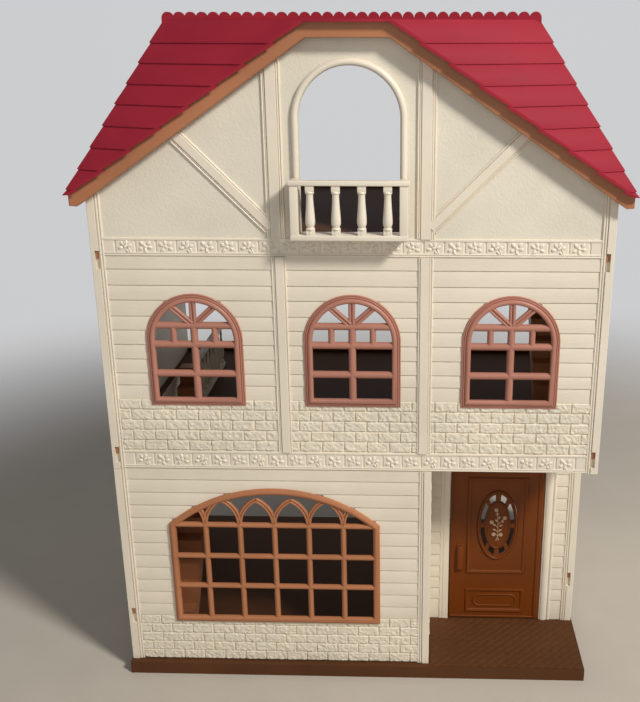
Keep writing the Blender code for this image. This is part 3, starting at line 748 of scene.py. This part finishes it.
def frieze(name, low, high, middle):
    """A band of tiles with a raised border above and a double one below."""
    left = -HALF + 0.0086
    right = HALF - 0.0086
    step = 0.00031
    band = Shape(frontal(SKIN - 0.0002))
    band.add(*relief(lines(left, right, step), lines(low + 0.002, high - 0.001, step), tiles(middle)))
    band.build(name, POST, flip=False)
    edge = Shape(frontal(SKIN))
    top = [(0.0, 0.0), (0.0, 0.0010), (0.0003, 0.0013), (0.0014, 0.0013), (0.0018, 0.0009)]
    top.append((0.0018, 0.0))
    edge.sweep([(left, high), (right, high)], mirrored(moulding(top)))
    foot = bead_line(0.0, 0.0012, 0.0006, 0.0007)
    foot += bead_line(0.0013, 0.0027, 0.0007, 0.0005)
    edge.sweep([(left, low + 0.0001), (right, low + 0.0001)], moulding(foot))
    edge.build(name + "_borders", POST)


BATTEN_TOP = verge(0.0436, 0.0118)


def gable():
    back = Shape(frontal(SKIN))
    drop = 0.0045
    wide = HALF - INSET
    outline = [
        (-wide, ATTIC_FLOOR),
        (wide, ATTIC_FLOOR),
        (wide, verge(HALF, drop)),
        (DECK_FRONT_X, DECK_Z - drop),
        (-DECK_FRONT_X, DECK_Z - drop),
        (-wide, verge(HALF, drop)),
    ]
    hole = round_arch(0, ARCH_HALF, ATTIC_FLOOR + 0.003, ARCH_SPRING)
    back.plate([outline, hole], -WALL, 0.0001)
    back.build("gable_panel", STUCCO, stands_for=["gable_wall"])
    timbers = Shape(frontal(SKIN))
    line = batten_line(0.0124, POST_OUT, 2, 2)
    upright(timbers, -0.0560, ATTIC_FLOOR, BATTEN_TOP, line)
    upright(timbers, 0.0560, ATTIC_FLOOR, BATTEN_TOP, line, mirror=True)
    timbers.build("gable_battens", POST)
    for word, side in (("left", -1), ("right", 1)):
        brace = Shape(frontal(SKIN))
        line = [(a - 0.0050, h - 0.0002) for a, h in batten_line(0.0100, POST_OUT, 1, 2)]
        if side > 0:
            line = mirrored(line[::-1])
        start = (side * 0.0535, ATTIC_FLOOR + 0.0070)
        end = (side * 0.1150, 0.4130)
        brace.sweep([start, end], moulding(line))
        brace.build(f"gable_brace_{word}", POST)


def entrance():
    skin = ENTRANCE_Y + 0.0006
    back = Shape(frontal(skin))
    left = DOOR_LEFT - 0.0068
    right = DOOR_RIGHT + 0.0088
    top = DOOR_TOP + 0.0060
    outline = [
        (PORCH_X - WALL, GROUND_LOW),
        (left, GROUND_LOW),
        (left, top),
        (right, top),
        (right, GROUND_LOW),
        (HALF - INSET, GROUND_LOW),
        (HALF - INSET, GROUND_HIGH),
        (PORCH_X - WALL, GROUND_HIGH),
    ]
    back.plate([outline], -WALL, PANEL)
    back.build("entrance_panel", CREAM, stands_for=["entrance_wall"])
    face = Shape(frontal(skin))
    lap = 0.0002
    for start, end, low in (
        (PORCH_X, left + lap, GROUND_LOW),
        (right - lap, HALF - 0.0086, GROUND_LOW),
        (left + lap, right - lap, top - lap),
    ):
        face.add(*siding(start, end, low, GROUND_HIGH, PORCH_JOINTS, 0.004))
    face.build("entrance_siding", SIDING, flip=False)
    slot = [(SLOT_X, ENTRANCE_Y, SLOT_TOPS[0])]
    corner_post("entrance_post", skin, HALF, GROUND_LOW, GROUND_HIGH, True, slot, 0.0018)


def door_trim():
    """Cream trim: a stepped board on the left, a rounded one on the right, and a head."""
    trim = Shape(frontal(ENTRANCE_Y + 0.005))
    deep = 0.005
    proud = deep + 0.0004
    left = [(0.0, 0.0), (0.0, deep), (0.0002, proud), (0.0024, proud), (0.0027, deep + 0.0008)]
    left += [(0.0068, deep + 0.0008), (0.0072, proud), (0.0072, 0.0)]
    right = [(0.0, 0.0), (0.0, deep - 0.0004), (0.0004, deep)]
    right += bead_line(0.0010, 0.0062, 0.0014, deep)
    right += bead_line(0.0066, 0.0089, 0.0007, deep)
    right += [(0.0092, deep - 0.0002), (0.0092, 0.0)]
    head = [(0.0, 0.0), (0.0, deep), (0.0004, proud), (0.0056, proud), (0.0060, deep), (0.0060, 0.0)]
    for u, line in ((DOOR_LEFT - 0.0072, left), (DOOR_RIGHT, right)):
        trim.sweep([(u, GROUND_LOW), (u, DOOR_TOP + 0.006)], mirrored(line))
    trim.sweep([(DOOR_LEFT - 0.001, DOOR_TOP), (DOOR_RIGHT + 0.001, DOOR_TOP)], head)
    trim.build("door_trim", POST, stands_for=["door_frame"])


SIDE_SUNK = 0.0006
SIDE_STRIP = 0.0063


def side_walls():
    """Boards and bricks on the outer faces of the side walls and the porch's return."""
    ground = (0.0106, 0.1740)
    upper = (UPPER_BOTTOM, 0.3700)
    low_edge = BASE_TOP + 0.0006
    high_edge = UPPER_BOTTOM - 0.0006
    far = BACK - 0.006
    front_strip = INNER_Y + 0.0001
    back_strip = BACK - 0.0001 - SIDE_STRIP
    for word, side in (("left", -1), ("right", 1)):
        place = sideways(side * (HALF - 0.0001), side)
        start = INNER_Y + 0.002 if side < 0 else ENTRANCE_Y + 0.006
        storeys = (
            ("ground", start, low_edge, GROUND_BRICK_TOP, high_edge, GROUND_JOINTS),
            ("upper", INNER_Y + 0.002, UPPER_FLOOR, UPPER_BRICK_TOP, ATTIC_BOTTOM, UPPER_JOINTS),
        )
        for storey, near, low, brick_top, high, joints in storeys:
            face = Shape(place)
            face.add(*siding(near + 0.004, far, brick_top, high, joints, 0.004, back=-SIDE_SUNK))
            face.build(f"{storey}_{word}_side_siding", SIDING)
            face = Shape(place)
            face.add(*brickwork(near + 0.004, far, low, brick_top, near, 41, 0.00055, back=-SIDE_SUNK))
            face.build(f"{storey}_{word}_side_bricks", BRICK)
        posts = Shape(place)
        strips = [(front_strip, SIDE_STRIP, upper), (back_strip, SIDE_STRIP, ground)]
        strips.append((back_strip, SIDE_STRIP, upper))
        if side < 0:
            strips.append((front_strip, SIDE_STRIP, ground))
        else:
            strips.append((ENTRANCE_Y + 0.0033, 0.0064, ground))
        for y0, wide, (low, high) in strips:
            y1 = y0 + wide
            line = [(y0, 0.0), (y0, 0.0010), (y0 + 0.0003, 0.0012), (y1 - 0.0003, 0.0012)]
            line += [(y1, 0.0010), (y1, 0.0)]
            posts.sweep([(0.0, low), (0.0, high)], mirrored(moulding(line, SIDE_SUNK)))
        posts.build(f"side_posts_{word}", POST)
        band = Shape(place)
        rim = bead_line(0.0, 0.0016, 0.0007, 0.0005) + [(0.0018, 0.0007), (0.0102, 0.0007)]
        rim += bead_line(0.0104, 0.0122, 0.0006, 0.0006)
        for low in (UPPER_BOTTOM + 0.0004, ATTIC_BOTTOM + 0.0001):
            path = [(INNER_Y + 0.006, low), (far, low)]
            band.sweep(path, moulding(rim, SIDE_SUNK))
        band.build(f"side_bands_{word}", POST)
    turn = Shape(sideways(PORCH_X - 0.0001, 1))
    near = INNER_Y + 0.0065
    end = ENTRANCE_Y - 0.0006
    turn.add(*siding(near, end, low_edge, high_edge, PORCH_JOINTS, 0.004, back=-SIDE_SUNK))
    turn.build("porch_return_siding", SIDING)


# ---------------------------------------------------------------- windows


LATTICE_Y = SKIN - 0.0003
BAR = 0.0026
FAN = 0.2833
WINDOW_BARS = (0.2482, 0.2696)
BAY_BARS = (0.0768, 0.1024, 0.1287)
BAY_PITCH = 0.0256
LANCET_RISE = 0.0203


def arched_window(word, x):
    """A frame with an outer bead and a rounded inner rim, a fan and two rows of panes."""
    shape = Shape(frontal(LATTICE_Y))
    path = round_arch(x, WINDOW_HALF, WINDOW_SILL, WINDOW_SPRING, 64)
    top = bead_line(0.0, 0.0012, 0.0006, 0.0010, 5)
    top += bead_line(0.0013, 0.0024, 0.0005, 0.0015, 5)
    top += bead_line(0.0025, 0.0061, 0.0017, 0.0014, 10)
    shape.sweep(path[:-1], moulding(top, 0.0), closed=True)
    inner = WINDOW_HALF - 0.0052
    bar = half_round(0.0052, BAR, 0.0, 10)
    thin = half_round(0.0044, 0.0023, 0.0, 10)
    reach = math.sqrt(inner**2 - (FAN - WINDOW_SPRING) ** 2)
    for z, half in zip((*WINDOW_BARS, FAN), (inner, inner, reach)):
        shape.sweep([(x - half, z), (x + half, z)], bar)
    shape.sweep([(x, WINDOW_SILL + 0.004), (x, FAN)], bar)
    double = bead_line(-0.0023, 0.0001, 0.0012, 0.0012) + bead_line(0.0002, 0.0023, 0.0010, 0.0012)
    spoke = moulding(double, 0.0)
    shape.sweep([(x, FAN), (x, WINDOW_SPRING + inner + 0.001)], spoke)
    for side in (-1, 1):
        stem_x = x + side * 0.0143
        shape.sweep([(stem_x, WINDOW_BARS[1]), (stem_x, FAN)], thin)
        end = (x + side * 0.0212, FAN + 0.0200)
        while math.hypot(end[0] - x, end[1] - WINDOW_SPRING) > inner + 0.0012:
            end = (end[0] - side * 0.0002, end[1] - 0.0002)
        shape.sweep([(x + side * 0.0012, FAN + 0.0012), end], spoke)
    name = f"{word}_window"
    shape.build(name, ROSE, stands_for=[f"arched_window_{word}"], angle=42)


def large_window():
    """A low-arched frame with a lattice and pointed arches along its head."""
    shape = Shape(frontal(LATTICE_Y))
    path = low_arch(BAY_X, BAY_HALF, BAY_SILL, BAY_SPRING, BAY_RISE, 64)
    top = [(0.0, 0.0), (0.0, 0.0019), (0.0003, 0.0023), (0.0013, 0.0025), (0.0016, 0.0031)]
    top += [(0.0024, 0.0034), (0.0036, 0.0030), (0.0047, 0.0018), (0.0050, 0.0008)]
    shape.sweep(path, moulding(top, 0.0), closed=True)
    bar = half_round(0.0042, BAR, 0.0, 10)
    double = bead_line(-0.0019, 0.0, 0.0011, 0.0011) + bead_line(0.0001, 0.0019, 0.0011, 0.0011)
    rib = moulding(double, 0.0)
    xs = [BAY_X + (i - 2) * BAY_PITCH for i in range(5)]
    for u in xs:
        shape.sweep([(u, BAY_SILL + 0.004), (u, BAY_SPRING + 0.001)], bar)
    wide = BAY_HALF - 0.0040
    for z in BAY_BARS:
        shape.sweep([(BAY_X - wide, z), (BAY_X + wide, z)], bar)
    radius = (LANCET_RISE**2 + BAY_PITCH**2 / 4) / BAY_PITCH
    reach = math.degrees(math.asin(LANCET_RISE / radius))
    rim = 0.0035
    for u in xs:
        for side in (-1, 1):
            run = reach + (0 if abs(u - BAY_X) < 0.04 or side * (u - BAY_X) < 0 else 18)
            start = 180 if side > 0 else 0
            centre = (u + side * radius, BAY_SPRING)
            points = np.array(arc(centre, radius, start, start - side * run, 20))
            inside = in_low_arch(
                *points.T, BAY_X, BAY_HALF - rim, BAY_SILL, BAY_SPRING, BAY_RISE - rim
            )
            if inside.sum() > 3:
                shape.sweep(points[inside], rib)
    name = "large_window"
    shape.build(name, ORANGE, stands_for=["large_window_frame"], angle=42)


# ---------------------------------------------------------------- balcony


BALUSTER = (
    *((0.0, 1.0), (0.62, 1.0), (0.62, 0.875), (0.84, 0.865), (0.94, 0.845), (0.86, 0.825)),
    *((0.74, 0.812), (0.72, 0.78), (0.75, 0.70), (0.82, 0.58), (0.93, 0.44), (1.02, 0.32)),
    *((1.02, 0.25), (0.92, 0.205), (0.76, 0.175), (0.74, 0.16), (0.90, 0.15), (0.97, 0.135)),
    *((0.90, 0.12), (0.70, 0.11), (0.70, 0.0), (0.0, 0.0)),
)
BALUSTER_R = 0.0031
BALUSTER_BLOCK = (0.0028, 0.0020)
BALUSTER_PITCH = 0.0167


def balcony():
    ring = Shape(frontal(LATTICE_Y))
    wide = ARCH_HALF + 0.0047
    foot = 0.3502
    path = round_arch(0, wide, foot, ARCH_SPRING, 72)[1:] + [(-wide, foot)]
    top = [(0.0, 0.0)] + bead_line(0.0001, 0.0046, 0.0021, 0.0007, 12) + [(0.0047, 0.0)]
    ring.sweep(path, moulding(top, 0.0))
    ring.build("balcony_arch", POST, stands_for=["arch_surround"])
    half = 0.0383
    front = FRONT - 0.0155
    back = FRONT - 0.0020
    low = 0.3462
    rail = (0.3817, 0.3850)
    edge = half + 0.0010
    blocks = [
        ((-half, front, low), (half, back, 0.3497), 0.0005),
        ((-edge, front - 0.0006, rail[0]), (edge, front + 0.0050, rail[1]), 0.0007),
    ]
    for side in (-1, 1):
        x0, x1 = sorted((side * (half - 0.0002), side * (half - 0.0056)))
        blocks += [
            ((x0, front + 0.0002, low + 0.0008), (x1, front + 0.0042, rail[1] - 0.001), 0.0004),
            ((x0, front + 0.003, rail[0] + 0.0004), (x1, back, rail[1] - 0.0003), 0.0005),
            ((x0, back - 0.0036, low + 0.0008), (x1, back, rail[1] - 0.001), 0.0004),
        ]
    shape = Shape()
    foot = 0.3494
    tall = rail[0] - foot + 0.0006
    profile = [(r * BALUSTER_R, z * tall) for r, z in BALUSTER]
    y = front + 0.0023
    across, deep = BALUSTER_BLOCK
    for i in range(4):
        x = (i - 1.5) * BALUSTER_PITCH
        shape.add(*lathe(profile, (x, y, foot), 28))
        for z0, z1 in ((tall * 0.865, tall + 0.0004), (-0.0004, tall * 0.115)):
            blocks.append(
                ((x - across, y - deep, foot + z0), (x + across, y + deep, foot + z1), 0.0003)
            )
    for block in blocks:
        shape.add(*rounded_box(*block))
    shape.build("balcony_rail_and_slab", POST, stands_for=["balcony"])


# ---------------------------------------------------------------- door


PETAL = [(0.0, 0.0005), (0.0005, 0.00042), (0.0008, 0.0002), (0.00085, -0.0003), (0.0, -0.0003)]
PANEL_SPAN = (0.0868, 0.1350)
LEAF_THICK = 0.0032
BARREL_R = 0.0023
BARREL_Y = -0.0502
MEDAL = (MEDAL_X, MEDAL_Z)
MEDAL_SLOTS = ((4.5, 46.0), (58.0, 80.5))

# The sprig on the medallion, in millimetres from its middle: stems, blooms and leaves.
STEMS = (
    *((0.0, -13.4, -0.2, 8.0), (0.0, -9.5, -2.8, -7.5), (0.0, -9.5, 2.7, -7.8)),
    *((0.0, -6.0, -2.1, -4.0), (0.0, -6.0, 2.2, -4.3), (0.0, -2.0, -4.6, 2.6)),
    *((0.0, 1.0, 5.4, 6.4), (-0.2, 7.0, -1.2, 13.6), (0.3, -11.0, 1.2, -13.6)),
    (-0.2, -11.0, -1.2, -13.6),
)
BLOOMS = ((-1.3, 13.9), (5.6, 6.8), (-4.8, 2.9), (-2.9, -8.1), (2.7, -8.4))
LEAVES = (
    *((-0.5, 10.3, 20), (1.4, 7.1, 60), (-1.0, 4.5, 140), (4.0, 3.9, 120)),
    *((-2.6, 0.6, 150), (2.8, 0.0, 25), (-2.3, -3.9, 150), (2.3, -4.2, 25)),
)


def door():
    low = BASE_TOP + 0.0008
    high = DOOR_TOP - 0.0006
    left = DOOR_LEFT + 0.0006
    right = HINGE_X - 0.0008
    shape = Shape(frontal(LEAF_Y))
    hole = ellipse(*MEDAL, 0.0166, 0.0316)
    shape.plate([rectangle(left, low, right, high), hole], -LEAF_THICK, 0.0)
    rim = [(0.0, 0.0), (0.0004, 0.0009), (0.0011, 0.0012), (0.0019, 0.0010), (0.0029, 0.0003)]
    rim.append((0.0031, 0.0))
    for bottom, top in ((0.0535, 0.1405), (0.0168, 0.0392)):
        outline = rectangle(PANEL_SPAN[0], bottom, PANEL_SPAN[1], top)
        shape.sweep(outline, moulding(rim, 0.0006), closed=True)
    oblong = arc((0.1234, 0.0280), 0.0051, -90, 90, 14) + arc((0.0984, 0.0280), 0.0051, 90, 270, 14)
    shape.sweep(oblong, half_round(0.0014, 0.0007, 0.0005, 6), closed=True)
    edge = [(0.0, 0.0), (0.0, 0.0003), (0.0006, 0.0006), (0.0014, 0.0005), (0.0018, 0.0)]
    border = rectangle(left + 0.0004, low + 0.0004, right - 0.0002, high - 0.0004)
    shape.sweep(border, moulding(edge, 0.0005), closed=True)
    seam = [(right - 0.0006, low + 0.0003), (right - 0.0006, high - 0.0003)]
    shape.sweep(seam, half_round(0.0020, 0.0009, 0.0006))
    shape.build("door_panel", DOOR, "door", stands_for=["door_leaf"])

    barrel = Shape()
    tall = high - low - 0.0002
    thin = BARREL_R - 0.0004
    profile = [(0.0, tall), (thin, tall), (BARREL_R, tall - 0.0004), (BARREL_R, 0.0004)]
    profile += [(thin, 0.0), (0.0, 0.0)]
    barrel.add(*lathe(profile, (HINGE_X, BARREL_Y, low + 0.0001), 28))
    barrel.build("door_hinge_barrel", DOOR, "door")

    medal = Shape(frontal(LEAF_Y))
    spans = []
    for start, end in MEDAL_SLOTS:
        spans += [(start, end), (180 - end, 180 - start)]
        spans += [(180 + start, 180 + end), (360 - end, 360 - start)]
    slots = [
        oval(MEDAL, 0.0136, 0.0278, *span, 8) + oval(MEDAL, 0.0105, 0.0214, *span, 8)[::-1]
        for span in spans
    ]
    medal.plate([ellipse(*MEDAL, 0.0163, 0.0313), *slots], -0.0024, 0.0002)
    for ru, rv, wide, out in ((0.0152, 0.0302, 0.0022, 0.0013), (0.0098, 0.0205, 0.0016, 0.0010)):
        medal.sweep(ellipse(*MEDAL, ru, rv), half_round(wide, out, 0.0004), closed=True)
    medal.build("door_medal", DOOR, "door", stands_for=["door_medallion"])
    door_sprig()

    grip = Shape(frontal(LEAF_Y))
    grip.add(*rounded_box((0.0794, 0.0572, -0.0002), (0.0842, 0.0792, 0.0034), 0.0014, 5))
    grip.add(*rounded_box((0.0786, 0.0556, -0.0004), (0.0850, 0.0808, 0.0007), 0.0004, 2))
    grip.build("door_grip", DOOR, "door", stands_for=["door_handle"])


def door_sprig():
    sprig = Shape(frontal(LEAF_Y - 0.0002))
    for u0, v0, u1, v1 in STEMS:
        path = [
            (
                MEDAL_X + (u0 + (u1 - u0) * t + 0.6 * math.sin(math.pi * t)) * MM,
                MEDAL_Z + (v0 + (v1 - v0) * t) * MM,
            )
            for t in np.linspace(0, 1, 7)
        ]
        sprig.sweep(path, half_round(0.0006, 0.0004, 0.0003, 6))
    for u, v in BLOOMS:
        for k in range(6):
            turn = math.radians(90 + 72 * k)
            out = 0.0 if k == 5 else 1.0
            spot = ((u + out * math.cos(turn)) * MM, (v + out * math.sin(turn)) * MM)
            centre = (MEDAL_X + spot[0], MEDAL_Z + spot[1], 0)
            sprig.add(*lathe([(r, h * 1.5) for r, h in PETAL], centre, 10))
    for u, v, turn in LEAVES:
        c = math.cos(math.radians(turn))
        s = math.sin(math.radians(turn))
        verts, faces = lathe(PETAL, (0, 0, 0), 12)
        x, y, z = np.array(verts).T * [[1.7], [0.9], [1.3]]
        placed = (MEDAL_X + u * MM + x * c - y * s, MEDAL_Z + v * MM + x * s + y * c, z)
        sprig.add(np.stack(placed, 1), faces)
    sprig.build("door_sprig", SPRIG, "door")


# ---------------------------------------------------------------- roof


COURSE_EDGES = [0.3779, 0.3904, 0.4037, 0.4170, 0.4303, 0.4427, 0.4555, 0.4679]
STEP_OUT = 0.0009
SHELL = 0.0013


def plane_of(a, b, c, inside):
    """(normal, offset) of a plane through three points, its normal away from inside."""
    a, b, c = (np.array(p, float) for p in (a, b, c))
    normal = np.cross(b - a, c - a)
    normal /= np.linalg.norm(normal)
    if np.dot(normal, np.array(inside) - a) > 0:
        normal = -normal
    return normal, float(np.dot(normal, a))


def roof():
    """Two stepped front slopes, two stepped end slopes and a flat deck."""
    core = (0.0, 0.0, 0.40)
    eave = (EAVE_X, LIP_Y, EAVE_Z)
    ridge = (RIDGE_X, RIDGE_Y, DECK_Z)
    corner = (DECK_FRONT_X, LIP_Y, DECK_Z)
    front_plane = plane_of(eave, ridge, corner, core)
    end_plane = plane_of(eave, (EAVE_X, ROOF_BACK, EAVE_Z), ridge, core)

    def section(z, inward):
        """The roof's outline at one height: verge, hip and back, moved in by inward."""
        fn, fo = front_plane
        en, eo = end_plane
        fo = fo - inward
        eo = eo - inward
        verge_x = (fo - fn[1] * LIP_Y - fn[2] * z) / fn[0]
        end_x = (eo - en[2] * z) / en[0]
        hip_y = (fo - fn[0] * end_x - fn[2] * z) / fn[1]
        if hip_y < LIP_Y or verge_x > end_x:
            verge_x = end_x
            hip_y = LIP_Y
        return [(verge_x, LIP_Y, z), (end_x, hip_y, z), (end_x, ROOF_BACK, z)]

    levels = [(EAVE_Z, 0.0)]
    for z in COURSE_EDGES:
        levels += [(z - 0.00025, STEP_OUT), (z, STEP_OUT * 0.82), (z + 0.0002, STEP_OUT * 0.15)]
        levels.append((z + 0.0006, 0.0))
    levels += [(DECK_Z - 0.0008, STEP_OUT * 0.9), (DECK_Z, STEP_OUT)]
    n = len(levels)
    index = np.arange(6 * n).reshape(2, n, 3)
    shape = Shape()
    for side in (-1, 1):
        verts = []
        for inward in (0.0, SHELL):
            for z, d in levels:
                verts += [(side * x, y, h) for x, y, h in section(z, d + inward)]
        faces = []
        for i in range(n - 1):
            for k in range(2):
                for a in index:
                    faces.append((a[i, k], a[i, k + 1], a[i + 1, k + 1], a[i + 1, k]))
            for k in (0, 2):
                faces.append((index[0, i, k], index[0, i + 1, k], index[1, i + 1, k], index[1, i, k]))
        for i in (0, n - 1):
            for k in range(2):
                faces.append((index[0, i, k], index[0, i, k + 1], index[1, i, k + 1], index[1, i, k]))
        shape.add(verts, faces)
    (front_x, _, _), (hip_x, hip_y, _), _ = section(DECK_Z, STEP_OUT)
    deck = [
        (-front_x, LIP_Y - 0.0003),
        (front_x, LIP_Y - 0.0003),
        (hip_x, hip_y),
        (hip_x, ROOF_BACK),
        (-hip_x, ROOF_BACK),
        (-hip_x, hip_y),
    ]
    shape.plate([deck], DECK_Z - 0.0016, DECK_Z + 0.0001)
    shape.build("roof", RED, stands_for=["roof_shell"], angle=28)


def fascia():
    """The gable board: sloping arms and a level top, set back under the roof's rim."""
    top = 0.0002
    deep = 0.0131
    flat_low = DECK_Z - 0.0108
    inner_x = EAVE_X - (flat_low + deep - EAVE_Z) / VERGE_SLOPE
    right = [
        (DECK_FRONT_X - 0.0022, DECK_Z - top),
        (0.1838, verge(0.1838, top)),
        (0.1838, 0.3668),
        (0.1788, 0.3665),
        (0.1740, verge(0.1740, deep)),
        (inner_x, flat_low),
    ]
    outline = right + [(-x, z) for x, z in reversed(right)]
    shape = Shape(frontal(FRONT))
    shape.plate([outline], 0.0001, 0.0078)
    made = shape.build("gable_board", ORANGE, stands_for=["gable_fascia"])
    soften(made, 0.0005, 2)


def soften(obj, width, segments):
    """Rounds a piece's sharp edges."""
    modifier = obj.modifiers.new("Soft_edges", "BEVEL")
    modifier.width = width
    modifier.segments = segments
    modifier.limit_method = "ANGLE"
    modifier.angle_limit = math.radians(40)


RIDGE_LOW = 0.4795
RIDGE_VALLEY = 0.4830
RIDGE_TOP = 0.4870
RIDGE_TILES = 33


def ridge_tiles():
    """Scalloped tiles standing along the front of the deck."""
    half = RIDGE_X / RIDGE_TILES
    rise = RIDGE_TOP - RIDGE_VALLEY
    centres = [RIDGE_X - (2 * i + 1) * half for i in range(RIDGE_TILES)]
    shape = Shape(frontal(RIDGE_Y))
    outline = [(-RIDGE_X, RIDGE_LOW), (RIDGE_X, RIDGE_LOW)]
    for centre in centres:
        outline += oval((centre, RIDGE_VALLEY), half, rise, 4, 176, 12)
    shape.plate([outline], -0.0030, 0.0008)
    for centre in centres:
        crown = oval((centre, RIDGE_VALLEY - 0.0004), half - 0.0005, rise - 0.0002, 8, 172, 12)
        shape.sweep(crown, half_round(0.0010, 0.0005, 0.0004, 6, 0.0004))
    shape.build("ridge_tiles", RED, stands_for=["ridge_strip"])


def paving():
    """Small bricks laid diagonally over the porch floor."""
    pattern = bricks(0.0, 0.0, 0.0052, 0.0104, 77)

    def height(u, v):
        a = (u + v) / math.sqrt(2)
        b = (v - u) / math.sqrt(2)
        return 0.00012 + 0.36 * pattern(a + 1, b + 1)

    shape = Shape(level(BASE_TOP))
    us = lines(PORCH_X + 0.0012, HALF + 0.0001, 0.0005)
    vs = lines(FRONT - 0.0040, ENTRANCE_Y - 0.0006, 0.0005)
    shape.add(*relief(us, vs, height, back=-0.0004))
    shape.build("porch_paving", DARK, flip=False)


# ---------------------------------------------------------------- kept parts


KEPT = (
    (DARK, 0.0007, "base_plate"),
    (DARK, 0.0004, "upper_floor attic_floor"),
    (CREAM, 0, "ground_left_wall ground_right_wall ground_return_wall porch_ceiling"),
    (CREAM, 0, "upper_left_wall upper_right_wall attic_left_wall attic_right_wall"),
    (ORANGE, 0.0005, "lower_staircase upper_staircase"),
    (POST, 0.0002, "upper_stair_rail attic_stair_rail"),
    (ORANGE, 0, "door_pin_top door_pin_bottom"),
)


def kept_parts():
    """Gives each kept part its finish, and softens its edges."""
    clips = " ".join(name for name in nodes if name.startswith("wall_clip"))
    for material, bevel, names in (*KEPT, (ORANGE, 0.0002, clips)):
        for name in names.split():
            obj = nodes[name]
            obj.data.materials.clear()
            obj.data.materials.append(material)
            if bevel:
                soften(obj, bevel, 3)


# ---------------------------------------------------------------- stage


FLOOR_SOLID = 0.42
FLOOR_GONE = 1.05
LAMPS = (
    ("key", (1.02, -0.98, 1.42), 0.30, 29.0, (1.0, 0.950, 0.875)),
    ("fill", (-0.30, -1.90, 0.75), 1.6, 3.5, (1.0, 0.965, 0.91)),
)
AIM = Vector((0, 0, 0.26))


def floor():
    """A pale floor that fades into the backdrop."""
    paint = moulded("pale_floor", (0.54, 0.50, 0.44), 0.85, 0.2, 300, vary=0.02, spec=0.2)
    tree = paint.node_tree
    shader = tree.nodes["Principled BSDF"]
    place = new_node(tree, "TexCoord")
    reach = new_node(tree, "VectorMath")
    reach.operation = "LENGTH"
    fade = new_node(tree, "MapRange", From_Min=FLOOR_SOLID, From_Max=FLOOR_GONE)
    fade.interpolation_type = "SMOOTHSTEP"
    clear = new_node(tree, "BsdfTransparent")
    mix = new_node(tree, "MixShader")
    wire(
        tree,
        (place, "Object", reach, 0),
        (reach, "Value", fade, "Value"),
        (fade, "Result", mix, "Fac"),
        (shader, "BSDF", mix, 1),
        (clear, "BSDF", mix, 2),
        (mix, "Shader", tree.nodes["Material Output"], "Surface"),
    )
    mesh = bpy.data.meshes.new("floor")
    edge = FLOOR_GONE + 0.05
    corners = [(-edge, -edge, 0), (edge, -edge, 0), (edge, edge, 0), (-edge, edge, 0)]
    mesh.from_pydata(corners, [], [(0, 1, 2, 3)])
    mesh.materials.append(paint)
    made = bpy.data.objects.new("floor", mesh)
    bpy.context.scene.collection.objects.link(made)


def stage():
    """The floor, a backdrop brighter behind and below, and a high key light from the right."""
    floor()
    world = bpy.data.worlds.new("studio")
    bpy.context.scene.world = world
    world.use_nodes = True
    tree = world.node_tree
    background = tree.nodes["Background"]
    background.inputs["Color"].default_value = (0.95, 0.955, 0.975, 1)
    place = new_node(tree, "TexCoord")
    split = new_node(tree, "SeparateXYZ")
    lift = new_node(tree, "MapRange", From_Min=0.05, From_Max=0.55, To_Min=0.58, To_Max=0.22)
    lift.interpolation_type = "SMOOTHSTEP"
    behind = new_node(tree, "MapRange", From_Min=-1.0, To_Min=0.60, To_Max=1.12)
    strength = new_node(tree, "Math")
    strength.operation = "MULTIPLY"
    wire(
        tree,
        (place, "Generated", split, "Vector"),
        (split, "Z", lift, "Value"),
        (split, "Y", behind, "Value"),
        (lift, "Result", strength, 0),
        (behind, "Result", strength, 1),
        (strength, "Value", background, "Strength"),
    )
    for name, spot, size, power, colour in LAMPS:
        lamp = bpy.data.lights.new(name, "AREA")
        lamp.shape = "DISK"
        lamp.size = size
        lamp.energy = power
        lamp.color = colour
        obj = bpy.data.objects.new(name, lamp)
        obj.location = spot
        obj.rotation_euler = (AIM - Vector(spot)).to_track_quat("-Z", "Y").to_euler()
        bpy.context.scene.collection.objects.link(obj)
    bpy.context.scene.view_settings.view_transform = "Standard"


def camera():
    """A camera at the photograph's viewing angle: a little to the right, looking down."""
    lens = bpy.data.cameras.new("camera")
    lens.sensor_fit = "AUTO"
    lens.sensor_width = 36
    lens.lens = 47.6923
    lens.shift_x = -0.099715
    lens.clip_start = 0.05
    lens.clip_end = 100
    obj = bpy.data.objects.new("camera", lens)
    obj.location = (0.0432, -0.7199, 0.4725)
    obj.rotation_euler = (math.radians(90 - 18.743), 0, math.radians(1.608))
    bpy.context.scene.collection.objects.link(obj)
    bpy.context.scene.camera = obj


def main():
    kept_parts()
    ground_front()
    upper_front()
    gable()
    entrance()
    door_trim()
    side_walls()
    for word, x in zip(("left", "centre", "right"), WINDOW_XS):
        arched_window(word, x)
    large_window()
    balcony()
    door()
    roof()
    fascia()
    ridge_tiles()
    paving()
    stage()
    camera()


main()
bpy.context.view_layer.update()
